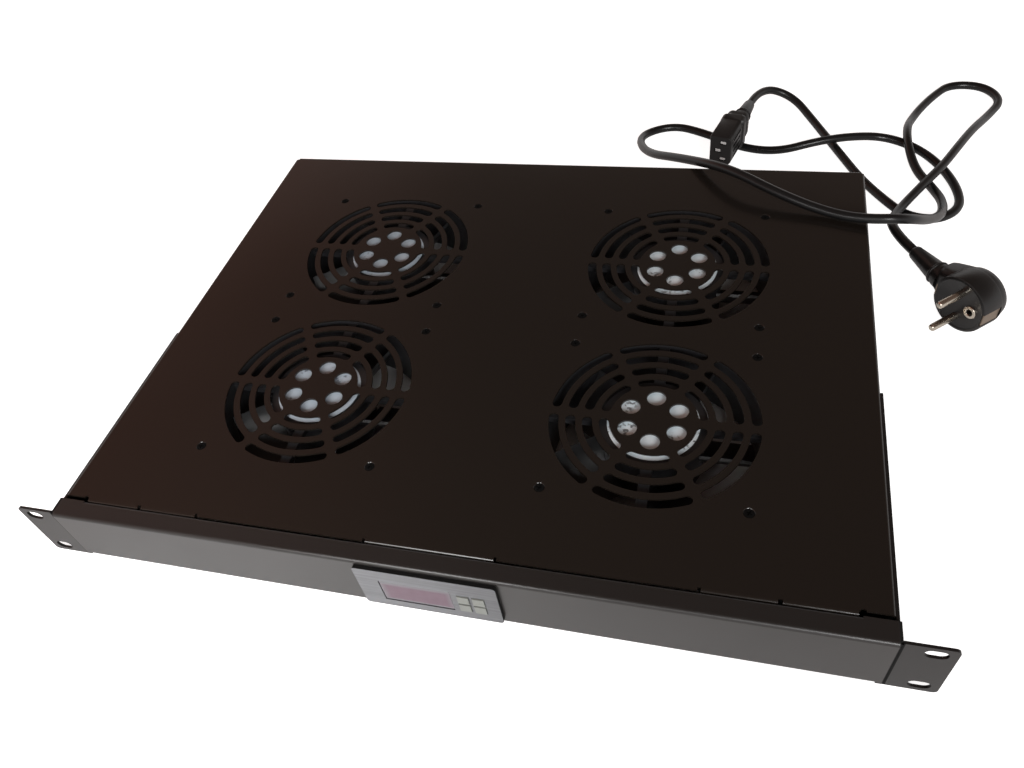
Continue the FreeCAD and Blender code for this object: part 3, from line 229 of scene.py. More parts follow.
def new_finish(name, group, values, **plain):
    """A material with one Principled shader fed by a surface group."""
    material = bpy.data.materials.new(name)
    material.use_nodes = True
    nodes = material.node_tree.nodes
    shader = nodes["Principled BSDF"]
    surface = nodes.new("ShaderNodeGroup")
    surface.node_tree = group
    surface.location = (-320, 0)
    for label, value in values.items():
        surface.inputs[label].default_value = value
    link = material.node_tree.links.new
    link(surface.outputs["Colour"], shader.inputs["Base Color"])
    link(surface.outputs["Roughness"], shader.inputs["Roughness"])
    if "Normal" in surface.outputs:
        link(surface.outputs["Normal"], shader.inputs["Normal"])
    for label, value in plain.items():
        shader.inputs[label.replace("_", " ")].default_value = value
    material.diffuse_color = values["Colour"]
    return material


def tone(red, green, blue):
    """A colour with its alpha."""
    return (red, green, blue, 1.0)


def grained(name, colour, second, smooth, rough, grain, relief, cloud=12.0, **plain):
    """A painted, moulded or rubber finish with fine grain."""
    return new_finish(name, GRAIN, {
        "Colour": tone(*colour), "Second Colour": tone(*second), "Smooth": smooth,
        "Rough": rough, "Grain": grain, "Cloud": cloud, "Relief": relief,
    }, **plain)


def drawn(name, colour, second, smooth, rough, lines, **plain):
    """A metal finish with fine scratches along one axis."""
    return new_finish(name, DRAWN, {
        "Colour": tone(*colour), "Second Colour": tone(*second), "Smooth": smooth,
        "Rough": rough, "Lines": lines,
    }, Metallic=1.0, **plain)


# Masks that a finish lays over itself
def reckon(nodes, link, operation, one, two=None):
    """One step of arithmetic, in which the second value may be a plain number."""
    step = nodes.new("ShaderNodeMath")
    step.operation = operation
    link(one, step.inputs[0])
    if isinstance(two, float):
        step.inputs[1].default_value = two
    elif two is not None:
        link(two, step.inputs[1])
    return step.outputs["Value"]


def share_along(nodes, link, source, start, stop, low, high):
    """A ramp of a coordinate from one value to another."""
    ramp = nodes.new("ShaderNodeMapRange")
    ramp.inputs["From Min"].default_value = start
    ramp.inputs["From Max"].default_value = stop
    ramp.inputs["To Min"].default_value = low
    ramp.inputs["To Max"].default_value = high
    link(source, ramp.inputs["Value"])
    return ramp.outputs["Result"]


def span(nodes, link, source, centre, half=1.0):
    """Distance from a centre as a share of a half width."""
    away = reckon(nodes, link, "SUBTRACT", source, centre)
    return reckon(nodes, link, "DIVIDE", reckon(nodes, link, "ABSOLUTE", away), half)


def patches(nodes, link, scale, detail):
    """Noise on the object's own coordinates."""
    place = nodes.new("ShaderNodeTexCoord")
    noise = nodes.new("ShaderNodeTexNoise")
    noise.inputs["Scale"].default_value = scale
    noise.inputs["Detail"].default_value = detail
    link(place.outputs["Object"], noise.inputs["Vector"])
    return noise.outputs["Fac"]


def blended(material, mask, shade, rough=None):
    """Lays a second colour, and a roughness, over the finish where the mask is one."""
    nodes = material.node_tree.nodes
    link = material.node_tree.links.new
    base = nodes["Principled BSDF"].inputs["Base Color"]
    blend = nodes.new("ShaderNodeMix")
    blend.data_type = "RGBA"
    blend.inputs["B"].default_value = tone(*shade)
    link(base.links[0].from_socket, blend.inputs["A"])
    link(mask, blend.inputs["Factor"])
    link(blend.outputs["Result"], base)
    if rough is not None:
        gloss = nodes["Principled BSDF"].inputs["Roughness"]
        dull = nodes.new("ShaderNodeMix")
        dull.inputs["B"].default_value = rough
        link(gloss.links[0].from_socket, dull.inputs["A"])
        link(mask, dull.inputs["Factor"])
        link(dull.outputs["Result"], gloss)


def spots_of(material):
    """The split object coordinates of a finish, for masks."""
    nodes = material.node_tree.nodes
    link = material.node_tree.links.new
    place = nodes.new("ShaderNodeTexCoord")
    split = nodes.new("ShaderNodeSeparateXYZ")
    link(place.outputs["Object"], split.inputs["Vector"])
    return nodes, link, split


def bezel_finish():
    """Brushed silver on the bezel's face with painted shade darker to the right, and black walls
    painted as the shade of the gap around the bezel.
    """
    material = drawn("bezel_grey", (0.19, 0.195, 0.205), (0.082, 0.085, 0.091), 0.34, 0.48, 900.0,
                     Specular_IOR_Level=0.2)
    shader = material.node_tree.nodes["Principled BSDF"]
    shader.inputs["Metallic"].default_value = 0.0
    surface = shader.inputs["Base Color"].links[0].from_node
    surface.inputs["Stretch"].default_value = (0.02, 1.0, 1.0)
    nodes, link, split = spots_of(material)
    # Painted shade: the silver darkens towards the right.
    blended(material, share_along(nodes, link, split.outputs["X"], -0.01, 0.04, 0.0, 0.3),
            (0.03, 0.031, 0.033))
    # Painted shade: the walls are black and dull, standing in for the shadowed gap around the
    # bezel.
    facing = nodes.new("ShaderNodeNewGeometry")
    ahead = nodes.new("ShaderNodeSeparateXYZ")
    link(facing.outputs["True Normal"], ahead.inputs["Vector"])
    blended(material, share_along(nodes, link, ahead.outputs["Y"], -0.75, -0.7, 0.0, 1.0),
            (0.003, 0.003, 0.003), 1.0)
    return material


def window_finish():
    """Mauve display glass that fades to silver near the edge of the window."""
    material = grained("window_tint", (0.065, 0.022, 0.045), (0.1, 0.056, 0.08),
                       0.12, 0.22, 900.0, 0.02, 170.0)
    nodes, link, split = spots_of(material)
    wide = span(nodes, link, split.outputs["X"], -5.6 * MM, 18.6 * MM)
    high = span(nodes, link, split.outputs["Z"], -0.9 * MM, 7.6 * MM)
    edge = reckon(nodes, link, "MAXIMUM", wide, high)
    blended(material, share_along(nodes, link, edge, 0.82, 1.08, 0.0, 1.0), (0.11, 0.107, 0.12))
    return material


def painted_seam_shadow(material, place, half):
    """A painted shadow line where the channel meets an ear, on both sides."""
    nodes, link, split = spots_of(material)
    side = span(nodes, link, split.outputs["X"], 0.0)
    line = span(nodes, link, side, place * MM, half * MM)
    # Painted shade: near black and dull along the joint.
    blended(material, share_along(nodes, link, line, 0.7, 1.1, 1.0, 0.0),
            (0.0005, 0.0005, 0.0005), 1.0)


def label_finish():
    """Pale foil with a painted bluish reflection, bluer and darker to the left, and formless dark
    print in places.
    """
    # The bluish second colour is a painted reflection of the room on the foil.
    material = grained("label_foil", (0.95, 0.95, 0.95), (0.62, 0.8, 0.9),
                       0.22, 0.36, 300.0, 0.05, 75.0)
    nodes, link, split = spots_of(material)
    print_marks = share_along(nodes, link, patches(nodes, link, 400.0, 1.0), 0.5, 0.62, 0.0, 1.0)
    print_area = share_along(nodes, link, patches(nodes, link, 48.0, 1.0), 0.54, 0.6, 0.0, 0.8)
    blended(material, reckon(nodes, link, "MULTIPLY", print_area, print_marks),
            (0.03, 0.028, 0.03))
    # Painted reflection: darker blue towards the left.
    blended(material, share_along(nodes, link, split.outputs["X"], -0.04, 0.04, 0.4, 0.0),
            (0.1, 0.14, 0.24))
    return material


def make_finishes():
    """One finish for each slot of the record, and two for single pieces."""
    return {
        "deck_paint": grained("deck_paint", (0.0122, 0.0094, 0.0074), (0.0098, 0.0078, 0.0064),
                              0.15, 0.22, 1400.0, 0.05, 7.0),
        "channel_paint": grained("channel_paint", (0.016, 0.014, 0.013), (0.013, 0.012, 0.0115),
                                 0.3, 0.36, 1400.0, 0.06, 9.0),
        "ear_paint": grained("ear_paint", (0.0108, 0.01, 0.0096), (0.0087, 0.0082, 0.008),
                             0.32, 0.4, 1400.0, 0.06, 9.0, Specular_IOR_Level=0.35),
        "rivet_steel": grained("rivet_paint", (0.02, 0.019, 0.018), (0.03, 0.03, 0.03),
                               0.3, 0.45, 700.0, 0.1),
        "fan_casting": grained("fan_casting", (0.012, 0.012, 0.013), (0.02, 0.02, 0.022),
                               0.32, 0.5, 500.0, 0.3),
        "rotor_plastic": grained("rotor_plastic", (0.014, 0.014, 0.015), (0.02, 0.02, 0.021),
                                 0.3, 0.42, 600.0, 0.1),
        "bright_steel": drawn("bright_steel", (0.62, 0.62, 0.63), (0.5, 0.5, 0.51),
                              0.18, 0.36, 1600.0),
        "stator_iron": drawn("stator_iron", (0.25, 0.25, 0.26), (0.18, 0.18, 0.19),
                             0.4, 0.6, 900.0),
        "black_screw": grained("black_screw", (0.002, 0.002, 0.002), (0.004, 0.004, 0.004),
                               0.65, 0.85, 700.0, 0.1, Specular_IOR_Level=0.08),
        "case_black": grained("case_black", (0.013, 0.013, 0.014), (0.02, 0.02, 0.021),
                              0.4, 0.55, 800.0, 0.3),
        "button_grey": grained("button_grey", (0.175, 0.185, 0.166), (0.15, 0.158, 0.146),
                               0.38, 0.5, 900.0, 0.12),
        "mat_rubber": grained("mat_rubber", (0.06, 0.06, 0.062), (0.08, 0.08, 0.082),
                              0.6, 0.8, 600.0, 0.2),
        "board_green": grained("board_green", (0.018, 0.12, 0.045), (0.012, 0.09, 0.035),
                               0.25, 0.4, 500.0, 0.1, 60.0),
        "terminal_green": grained("terminal_green", (0.03, 0.2, 0.09), (0.025, 0.17, 0.075),
                                  0.35, 0.5, 700.0, 0.2),
        "terminal_steel": drawn("terminal_steel", (0.6, 0.6, 0.6), (0.48, 0.48, 0.48),
                                0.2, 0.4, 1800.0),
        "inlet_plastic": grained("inlet_plastic", (0.012, 0.012, 0.012), (0.018, 0.018, 0.018),
                                 0.3, 0.45, 800.0, 0.2),
        "contact_brass": drawn("contact_nickel", (0.62, 0.57, 0.49), (0.5, 0.45, 0.38),
                               0.18, 0.34, 1500.0),
        "lead_black": grained("lead_sheath", (0.006, 0.006, 0.0062), (0.009, 0.009, 0.0093),
                              0.24, 0.36, 700.0, 0.1, 25.0, Specular_IOR_Level=0.32),
        "lead_inner": grained("lead_inner", (0.012, 0.012, 0.012), (0.02, 0.02, 0.02),
                              0.35, 0.5, 700.0, 0.1, 25.0),
        "lead_earth": grained("lead_earth", (0.08, 0.3, 0.04), (0.4, 0.42, 0.03),
                              0.35, 0.5, 700.0, 0.1, 160.0),
        "probe_metal": drawn("probe_metal", (0.66, 0.67, 0.68), (0.58, 0.59, 0.6),
                             0.12, 0.25, 1500.0),
        "moulding_black": grained("moulding_black", (0.008, 0.0078, 0.0076),
                                  (0.0125, 0.012, 0.0118), 0.3, 0.45, 650.0, 0.22, 25.0,
                                  Specular_IOR_Level=0.4),
        "contact_bar": grained("contact_bar", (0.75, 0.75, 0.74), (0.6, 0.6, 0.6),
                               0.3, 0.45, 900.0, 0.05, 60.0, Metallic=0.3),
        "earth_clip": drawn("earth_clip", (0.3, 0.24, 0.18), (0.22, 0.17, 0.13),
                            0.3, 0.45, 1500.0),
        "bezel_grey": bezel_finish(),
        "label_foil": label_finish(),
        "window_tint": window_finish(),
    }


FINISH = make_finishes()
# Painted shadow lines at the joints between the channel and the ears
painted_seam_shadow(FINISH["channel_paint"], CHANNEL_SEAM, 0.9)
painted_seam_shadow(FINISH["ear_paint"], EAR_SEAM, 0.7)
OWN_FINISH = {"plug_earth_clips": "earth_clip"}


def paint_nodes():
    """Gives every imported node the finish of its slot, or its own."""
    for name, thing in NODES.items():
        thing.data.materials.clear()
        thing.data.materials.append(FINISH[OWN_FINISH.get(name, SLOT_OF[name])])


paint_nodes()


# Mesh helpers
def soften(mesh):
    """Smooth shading that keeps the sharp edges."""
    mesh.shade_smooth()
    mesh.set_sharp_from_angle(angle=SHARP_EDGE)


def mesh_piece(name, bm, finish, move=None):
    """A finished mesh object at the origin, its place in its vertices."""
    bmesh.ops.recalc_face_normals(bm, faces=bm.faces)
    if move is not None:
        bmesh.ops.transform(bm, matrix=move, verts=bm.verts)
    mesh = bpy.data.meshes.new(name)
    bm.to_mesh(mesh)
    bm.free()
    mesh.materials.append(finish)
    soften(mesh)
    piece = bpy.data.objects.new(name, mesh)
    bpy.context.scene.collection.objects.link(piece)
    return piece


def settle(piece):
    """Applies the modifiers and leaves a plain mesh object at the origin."""
    bpy.context.view_layer.update()
    graph = bpy.context.evaluated_depsgraph_get()
    mesh = bpy.data.meshes.new_from_object(piece.evaluated_get(graph), depsgraph=graph)
    mesh.name = piece.name
    name = piece.name
    bpy.data.objects.remove(piece, do_unlink=True)
    made = bpy.data.objects.new(name, mesh)
    bpy.context.scene.collection.objects.link(made)
    return made


def ring_points(half_wide, half_high, corner, other, steps):
    """Points of a rounded rectangle whose left corners may differ from its right ones."""
    points = []
    for quarter in range(4):
        sign_u = 1 if quarter in (0, 3) else -1
        sign_v = 1 if quarter in (0, 1) else -1
        radius = corner if sign_u > 0 else other
        centre_u = sign_u * (half_wide - radius)
        centre_v = sign_v * (half_high - radius)
        for step in range(steps + 1):
            angle = math.radians(90 * (quarter + step / steps))
            points.append((centre_u + radius * math.cos(angle),
                           centre_v + radius * math.sin(angle)))
    return points


def loft(bm, sections, steps=6):
    """A closed body through sections (y, half width, half height, corner, left corner)."""
    rings = []
    for section in sections:
        y, half_wide, half_high, corner = section[:4]
        most = min(half_wide, half_high) - 0.01
        corner = min(corner, most)
        other = min(section[4], most) if len(section) > 4 else corner
        ring = []
        for u, v in ring_points(half_wide, half_high, corner, other, steps):
            ring.append(bm.verts.new((u * MM, y * MM, v * MM)))
        rings.append(ring)
    count = len(rings[0])
    for one, two in zip(rings, rings[1:]):
        for step in range(count):
            after = (step + 1) % count
            bm.faces.new((one[step], one[after], two[after], two[step]))
    bm.faces.new(rings[0])
    bm.faces.new(rings[-1])


def turned_body(bm, profile, steps=64):
    """A solid of revolution about Y from (radius, y) pairs in millimetres."""
    rings = []
    for radius, y in profile:
        if radius <= 0:
            rings.append([bm.verts.new((0, y * MM, 0))])
            continue
        ring = []
        for step in range(steps):
            angle = 2 * math.pi * step / steps
            ring.append(bm.verts.new((radius * math.cos(angle) * MM, y * MM,
                                      radius * math.sin(angle) * MM)))
        rings.append(ring)
    for one, two in zip(rings, rings[1:]):
        for step in range(steps):
            after = (step + 1) % steps
            if len(one) == 1:
                bm.faces.new((one[0], two[after], two[step]))
            elif len(two) == 1:
                bm.faces.new((one[step], one[after], two[0]))
            else:
                bm.faces.new((one[step], one[after], two[after], two[step]))


def block(bm, low, high):
    """A box between two corners in millimetres."""
    for vert in bmesh.ops.create_cube(bm, size=1.0)["verts"]:
        for axis in range(3):
            vert.co[axis] = (low[axis] if vert.co[axis] < 0 else high[axis]) * MM


def shaped(name, finish, maker, *sizes, move=None):
    """A piece whose mesh comes from loft, turned_body or block."""
    bm = bmesh.new()
    maker(bm, *sizes)
    return mesh_piece(name, bm, finish, move)


def carve(piece, cutters):
    """Takes the cutters out of the piece."""
    for cutter in cutters:
        step = piece.modifiers.new("carve", "BOOLEAN")
        step.operation = "DIFFERENCE"
        step.solver = "EXACT"
        step.object = cutter
    done = settle(piece)
    for cutter in cutters:
        bpy.data.objects.remove(cutter, do_unlink=True)
    soften(done.data)
    return done


# Repeats along points, built with geometry nodes
def repeat_tree():
    """Puts one piece at every point of a mesh, realised and finished."""
    tree = bpy.data.node_groups.new("repeat_piece", "GeometryNodeTree")
    tree.is_modifier = True
    tree.interface.new_socket("Points", in_out="INPUT", socket_type="NodeSocketGeometry")
    tree.interface.new_socket("Piece", in_out="INPUT", socket_type="NodeSocketObject")
    tree.interface.new_socket("Turn", in_out="INPUT", socket_type="NodeSocketFloat")
    tree.interface.new_socket("Finish", in_out="INPUT", socket_type="NodeSocketMaterial")
    tree.interface.new_socket("Geometry", in_out="OUTPUT", socket_type="NodeSocketGeometry")
    give = tree.nodes.new("NodeGroupInput")
    take = tree.nodes.new("NodeGroupOutput")
    piece = tree.nodes.new("GeometryNodeObjectInfo")
    piece.transform_space = "ORIGINAL"
    place = tree.nodes.new("GeometryNodeInstanceOnPoints")
    index = tree.nodes.new("GeometryNodeInputIndex")
    angle = tree.nodes.new("ShaderNodeMath")
    angle.operation = "MULTIPLY"
    spin = tree.nodes.new("ShaderNodeCombineXYZ")
    realise = tree.nodes.new("GeometryNodeRealizeInstances")
    dress = tree.nodes.new("GeometryNodeSetMaterial")
    link = tree.links.new
    link(give.outputs["Points"], place.inputs["Points"])
    link(give.outputs["Piece"], piece.inputs["Object"])
    link(piece.outputs["Geometry"], place.inputs["Instance"])
    link(index.outputs["Index"], angle.inputs[0])
    link(give.outputs["Turn"], angle.inputs[1])
    link(angle.outputs["Value"], spin.inputs["Z"])
    link(spin.outputs["Vector"], place.inputs["Rotation"])
    link(place.outputs["Instances"], realise.inputs["Geometry"])
    link(realise.outputs["Geometry"], dress.inputs["Geometry"])
    link(give.outputs["Finish"], dress.inputs["Material"])
    link(dress.outputs["Geometry"], take.inputs["Geometry"])
    return tree


def ribs_tree():
    """Round ribs on one line, from a wider one to a narrower one, up to its end point."""
    tree = bpy.data.node_groups.new("boot_ribs", "GeometryNodeTree")
    tree.is_modifier = True
    sockets = [
        ("Geometry", "NodeSocketGeometry", None),
        ("Count", "NodeSocketInt", 6),
        ("Length", "NodeSocketFloat", 0.02),
        ("Wide Radius", "NodeSocketFloat", 0.007),
        ("Narrow Radius", "NodeSocketFloat", 0.0045),
        ("Rib Radius", "NodeSocketFloat", 0.001),
        ("Finish", "NodeSocketMaterial", None),
    ]
    for label, kind, start in sockets:
        socket = tree.interface.new_socket(label, in_out="INPUT", socket_type=kind)
        if start is not None:
            socket.default_value = start
    tree.interface.new_socket("Geometry", in_out="OUTPUT", socket_type="NodeSocketGeometry")
    give = tree.nodes.new("NodeGroupInput")
    take = tree.nodes.new("NodeGroupOutput")
    line = tree.nodes.new("GeometryNodeMeshLine")
    line.mode = "END_POINTS"
    far = tree.nodes.new("ShaderNodeCombineXYZ")
    rib = tree.nodes.new("GeometryNodeCurvePrimitiveCircle")
    rib.inputs["Resolution"].default_value = 32
    rib.inputs["Radius"].default_value = 1.0
    section = tree.nodes.new("GeometryNodeCurvePrimitiveCircle")
    section.inputs["Resolution"].default_value = 8
    place = tree.nodes.new("GeometryNodeInstanceOnPoints")
    index = tree.nodes.new("GeometryNodeInputIndex")
    last = tree.nodes.new("ShaderNodeMath")
    last.operation = "SUBTRACT"
    last.inputs[1].default_value = 1.0
    share = tree.nodes.new("ShaderNodeMath")
    share.operation = "DIVIDE"
    radius = tree.nodes.new("ShaderNodeMapRange")
    realise = tree.nodes.new("GeometryNodeRealizeInstances")
    sweep = tree.nodes.new("GeometryNodeCurveToMesh")
    dress = tree.nodes.new("GeometryNodeSetMaterial")
    link = tree.links.new
    link(give.outputs["Count"], line.inputs["Count"])
    link(give.outputs["Length"], far.inputs["Z"])
    link(far.outputs["Vector"], line.inputs["Offset"])
    link(line.outputs["Mesh"], place.inputs["Points"])
    link(rib.outputs["Curve"], place.inputs["Instance"])
    link(give.outputs["Count"], last.inputs[0])
    link(index.outputs["Index"], share.inputs[0])
    link(last.outputs["Value"], share.inputs[1])
    link(share.outputs["Value"], radius.inputs["Value"])
    link(give.outputs["Wide Radius"], radius.inputs["To Min"])
    link(give.outputs["Narrow Radius"], radius.inputs["To Max"])
    link(radius.outputs["Result"], place.inputs["Scale"])
    link(place.outputs["Instances"], realise.inputs["Geometry"])
    link(realise.outputs["Geometry"], sweep.inputs["Curve"])
    link(give.outputs["Rib Radius"], section.inputs["Radius"])
    link(section.outputs["Curve"], sweep.inputs["Profile Curve"])
    link(sweep.outputs["Mesh"], dress.inputs["Geometry"])
    link(give.outputs["Finish"], dress.inputs["Material"])
    link(dress.outputs["Geometry"], take.inputs["Geometry"])
    return tree


def run_tree(name, mesh, tree, values):
    """Evaluates a geometry tree on a mesh and returns the plain result."""
    carrier = bpy.data.objects.new(name, mesh)
    bpy.context.scene.collection.objects.link(carrier)
    step = carrier.modifiers.new("tree", "NODES")
    step.node_group = tree
    for item in tree.interface.items_tree:
        if item.item_type == "SOCKET" and item.in_out == "INPUT" and item.name in values:
            step[item.identifier] = values[item.name]
    return settle(carrier)


REPEAT = repeat_tree()
RIBS = ribs_tree()


def repeated(name, template, points, finish, turn=0.0):
    """The template at every point, as one mesh; the template is then removed."""
    mesh = bpy.data.meshes.new(name + "_points")
    mesh.from_pydata([tuple(point) for point in points], [], [])
    made = run_tree(name, mesh, REPEAT, {"Piece": template, "Turn": turn, "Finish": finish})
    bpy.data.objects.remove(template, do_unlink=True)
    soften(made.data)
    return made


def moved(piece, matrix):
    """Moves a mesh by its vertices."""
    piece.data.transform(matrix)
    piece.data.update()
    return piece


def dressed(piece, slot_name, *nodes):
    """Hides the nodes that a fixed piece stands for and puts the piece on the tray's body; the
    slot's name is not used.
    """
    if nodes:
        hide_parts(*nodes)
    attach(piece, "tray")
    return piece


# Fan screws: countersunk heads with a cross recess, sixteen in the deck
def fan_screws():
    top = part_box("fan_screws")[1].z
    black = FINISH["black_screw"]
    upright = Matrix.Rotation(math.radians(90), 4, "X")
    head = shaped("screw_head", black, turned_body, [
        (0, 0), (2.35, -0.03), (2.6, -0.12), (2.65, -0.25), (1.5, -1.2), (1.5, -9.9), (0, -10),
    ], 24, move=upright)
    cutters = []
    for turn in (0, 90):
        cutters.append(shaped("cross_cut", black, block, (-1.5, -0.28, -0.8), (1.5, 0.28, 0.5),
                              move=Matrix.Rotation(math.radians(turn), 4, "Z")))
    head = carve(head, cutters)
    points = []
    for fan in FANS:
        low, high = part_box("fan_frame_" + fan)
        middle = (low + high) / 2
        for sx in (-SCREW_HALF_PITCH, SCREW_HALF_PITCH):
            for sy in (-SCREW_HALF_PITCH, SCREW_HALF_PITCH):
                points.append((middle.x + sx * MM, middle.y + sy * MM, top - SCREW_SINK * MM))
    dressed(repeated("fan_screw_heads", head, points, black, 0.7), "black_screw", "fan_screws")


fan_screws()


# Local frames of the lead's two ends
LEAD_START = ROUTE[0]
START_WAY = ROUTE[1] - ROUTE[0]
CONNECTOR_FRAME = Matrix.Translation(LEAD_START) @ Matrix.Rotation(
    math.atan2(-START_WAY.x, START_WAY.y), 4, "Z")
END_WAY = (ROUTE[-2] - ROUTE[-1]).normalized()
END_ANGLE = math.atan2(END_WAY.y, END_WAY.x)
BOOT_PLACE = ROUTE[-1] - END_WAY * BOOT_LENGTH * MM
LEAN = END_ANGLE + math.radians(PLUG_LEAN)
PLUG_CENTRE = BOOT_PLACE - Vector((math.cos(LEAN), math.sin(LEAN), 0)) * PLUG_REACH * MM
PLUG_FRAME = Matrix.Translation(PLUG_CENTRE) @ Matrix.Rotation(LEAN, 4, "Z")
NECK_FRAME = PLUG_FRAME @ Matrix.Rotation(math.radians(-90), 4, "Z")
BOOT_FRAME = Matrix.Translation(BOOT_PLACE) @ Matrix.Rotation(
    END_ANGLE - math.radians(90), 4, "Z")
ALONG_Y = Matrix.Rotation(math.radians(-90), 4, "X")


# Ends of the mains lead
def boot_ribs(name, count, length, wide, narrow, rib, boot_frame, start):
    """Ribs close together at the wide end of a boot, sizes in millimetres.

    From a start along the boot's Y axis they cover one step of the length, not all of it.
    """
    made = run_tree(name, bpy.data.meshes.new(name), RIBS, {
        "Count": count, "Length": length * MM / (count - 1), "Wide Radius": wide * MM,
        "Narrow Radius": narrow * MM, "Rib Radius": rib * MM, "Finish": FINISH["moulding_black"],
    })
    made.data.shade_smooth()
    moved(made, boot_frame @ Matrix.Translation((0, start * MM, 0)) @ ALONG_Y)
    return dressed(made, "moulding_black")


def connector():
    """Appliance connector: nose with three slots, two collars, grip marks and a ribbed boot."""
    black = FINISH["moulding_black"]
    body = shaped("connector_shell", black, loft, [
        (-72, 8.0, 11.8, 3.6, 0.8), (-71.5, 8.4, 12.2, 4.0, 1.0), (-71, 8.6, 12.4, 4.2, 1.2),
        (-46.6, 8.6, 12.4, 4.2, 1.2), (-46, 9.0, 12.4, 3.4, 2.6), (-45.4, 9.7, 12.9, 4, 4),
        (-39.8, 9.8, 13, 4, 4), (-39.2, 9.3, 12.5, 4, 4), (-38.6, 8.1, 11.1, 4, 4),
        (-34.4, 8.0, 10.9, 4, 4), (-34, 8.5, 10.4, 4, 4), (-33.4, 8.8, 10.5, 4, 4),
        (-29.4, 8.7, 10.3, 4.4, 4.4), (-28.2, 8.0, 9.0, 5, 5), (-27.4, 7.2, 7.6, 6, 6),
    ])
    cutters = []
    for u, v in CONTACT_PLACES:
        cutters.append(shaped("slot_cut", black, block,
                              (u - 2.5, -73, v - 1.5), (u + 2.5, -54, v + 1.5)))
    for step in range(4):
        v = -7.2 + step * 4.8
        for side in (-8.6, 8.6):
            cutters.append(shaped("grip_cut", black, block,
                                  (side - 0.6, -66, v - 1.0), (side + 0.6, -50, v + 1.0)))
    body = dressed(moved(carve(body, cutters), CONNECTOR_FRAME), "moulding_black",
                   "connector_body")
    boot = shaped("connector_strain_relief", black, loft, [
        (-28, 7.0, 7.4, 6.2), (-25, 6.5, 6.7, 6.3), (-20, 6.0, 6.0, 5.9), (-1.4, 4.4, 4.4, 4.35),
        (-0.6, 4.1, 4.1, 4.05), (0, 3.5, 3.5, 3.45),
    ], 8, move=CONNECTOR_FRAME)
    dressed(boot, "moulding_black", "connector_boot")
    ribs = boot_ribs("connector_boot_ribs", 6, 15, 5.95, 4.85, 0.75, CONNECTOR_FRAME, -18)
    bars = []
    for u, v in CONTACT_PLACES:
        bars.append(shaped("contact_bar", FINISH["contact_bar"], loft, [
            (-71.4, 2.0, 1.0, 0.3), (-71.2, 2.2, 1.2, 0.4), (-56, 2.2, 1.2, 0.4),
        ], 2, move=CONNECTOR_FRAME @ Matrix.Translation((u * MM, 0, v * MM))))
    bars = dressed(joined("connector_contact_bars", bars), "contact_brass", "connector_contacts")
    return [body, boot, ribs, bars]


def plug_shell():
    """Turned body with the earth socket and the two recesses for the earth clips."""
    black = FINISH["moulding_black"]
    body = shaped("plug_shell", black, turned_body, [
        (0, -12), (11.4, -12), (12.6, -11.7), (15.6, -9.6), (16.6, -8.6), (17.4, -6), (17.7, -3.6),
        (18.4, -3.1), (18.7, -2.2), (18.7, 10.6), (18.4, 11.5), (17.6, 12), (16.8, 12),
        (16.4, 11.6), (16.0, 11.4), (0, 11.4),
    ], 72)
    cutters = [shaped("earth_hole", black, turned_body, [(0, 3), (2.6, 3), (2.6, 13), (0, 13)], 24,
                      move=Matrix.Translation((SOCKET_OFFSET * MM, 0, 0)))]
    for low, high in ((17.0, 20), (-20, -17.0)):
        cutters.append(shaped("clip_cut", black, block, (low, -2, -4.5), (high, 13, 4.5)))
    return dressed(moved(carve(body, cutters), PLUG_FRAME), "moulding_black", "plug_body")


def plug():
    """Angled earthed plug: shell, wedge neck, ribbed boot, earth socket and two pins."""
    black = FINISH["moulding_black"]
    metal = FINISH["contact_brass"]
    body = plug_shell()
    neck = shaped("plug_neck", black, loft, [
        (2, 8.4, 16.6, 5), (8, 8.6, 15.2, 5), (15, 8.6, 12.4, 5), (21, 8.4, 10.2, 5.4),
        (23.4, 8.2, 9.2, 6), (24.6, 7.4, 8.0, 7),
    ], 8, move=NECK_FRAME @ Matrix.Translation((2 * MM, 0, 0)))
    dressed(neck, "moulding_black")
    boot = shaped("plug_strain_relief", black, loft, [
        (-2.4, 7.6, 8.0, 7.4), (1, 7.5, 7.8, 7.3), (4, 6.9, 7.0, 6.8), (26, 4.6, 4.6, 4.55),
        (27.4, 4.2, 4.2, 4.15), (28, 3.6, 3.6, 3.55),
    ], 8, move=BOOT_FRAME)
    dressed(boot, "moulding_black", "plug_boot")
    ribs = boot_ribs("plug_boot_ribs", 8, 20.5, 7.0, 4.9, 0.85, BOOT_FRAME, 4.4)
    liner = shaped("plug_earth_socket", metal, turned_body, [
        (2.1, 5), (2.1, 11.9), (2.5, 12.2), (3.9, 12.2), (4.2, 11.9), (4.2, 11.3),
    ], 32, move=PLUG_FRAME @ Matrix.Translation((SOCKET_OFFSET * MM, 0, 0)))
    dressed(liner, "contact_brass")
    pins = []
    for side in (-PIN_OFFSET, PIN_OFFSET):
        pins.append(shaped("plug_pin", metal, turned_body, [
            (0, 11.4), (2.4, 11.4), (2.4, 29), (2.2, 30.2), (1.5, 30.9), (0, 31),
        ], 24, move=PLUG_FRAME @ Matrix.Translation((0, 0, side * MM))))
    both = dressed(joined("plug_pin_pair", pins), "contact_brass", "plug_pins")
    return [body, neck, boot, ribs, liner, both]


def joined(name, things):
    """Several meshes as one."""
    bm = bmesh.new()
    finish = things[0].data.materials[0]
    for thing in things:
        bm.from_mesh(thing.data)
        bpy.data.objects.remove(thing, do_unlink=True)
    return mesh_piece(name, bm, finish)


def mains_lead():
    """Dresses the cord and its two ends."""
    near = connector()
    far = plug()
    mains_cord.data.materials.append(FINISH["lead_black"])
    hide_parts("mains_cord")
    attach(mains_cord, "tray")
    along = near + far
    along.append(NODES["plug_earth_clips"])


mains_lead()


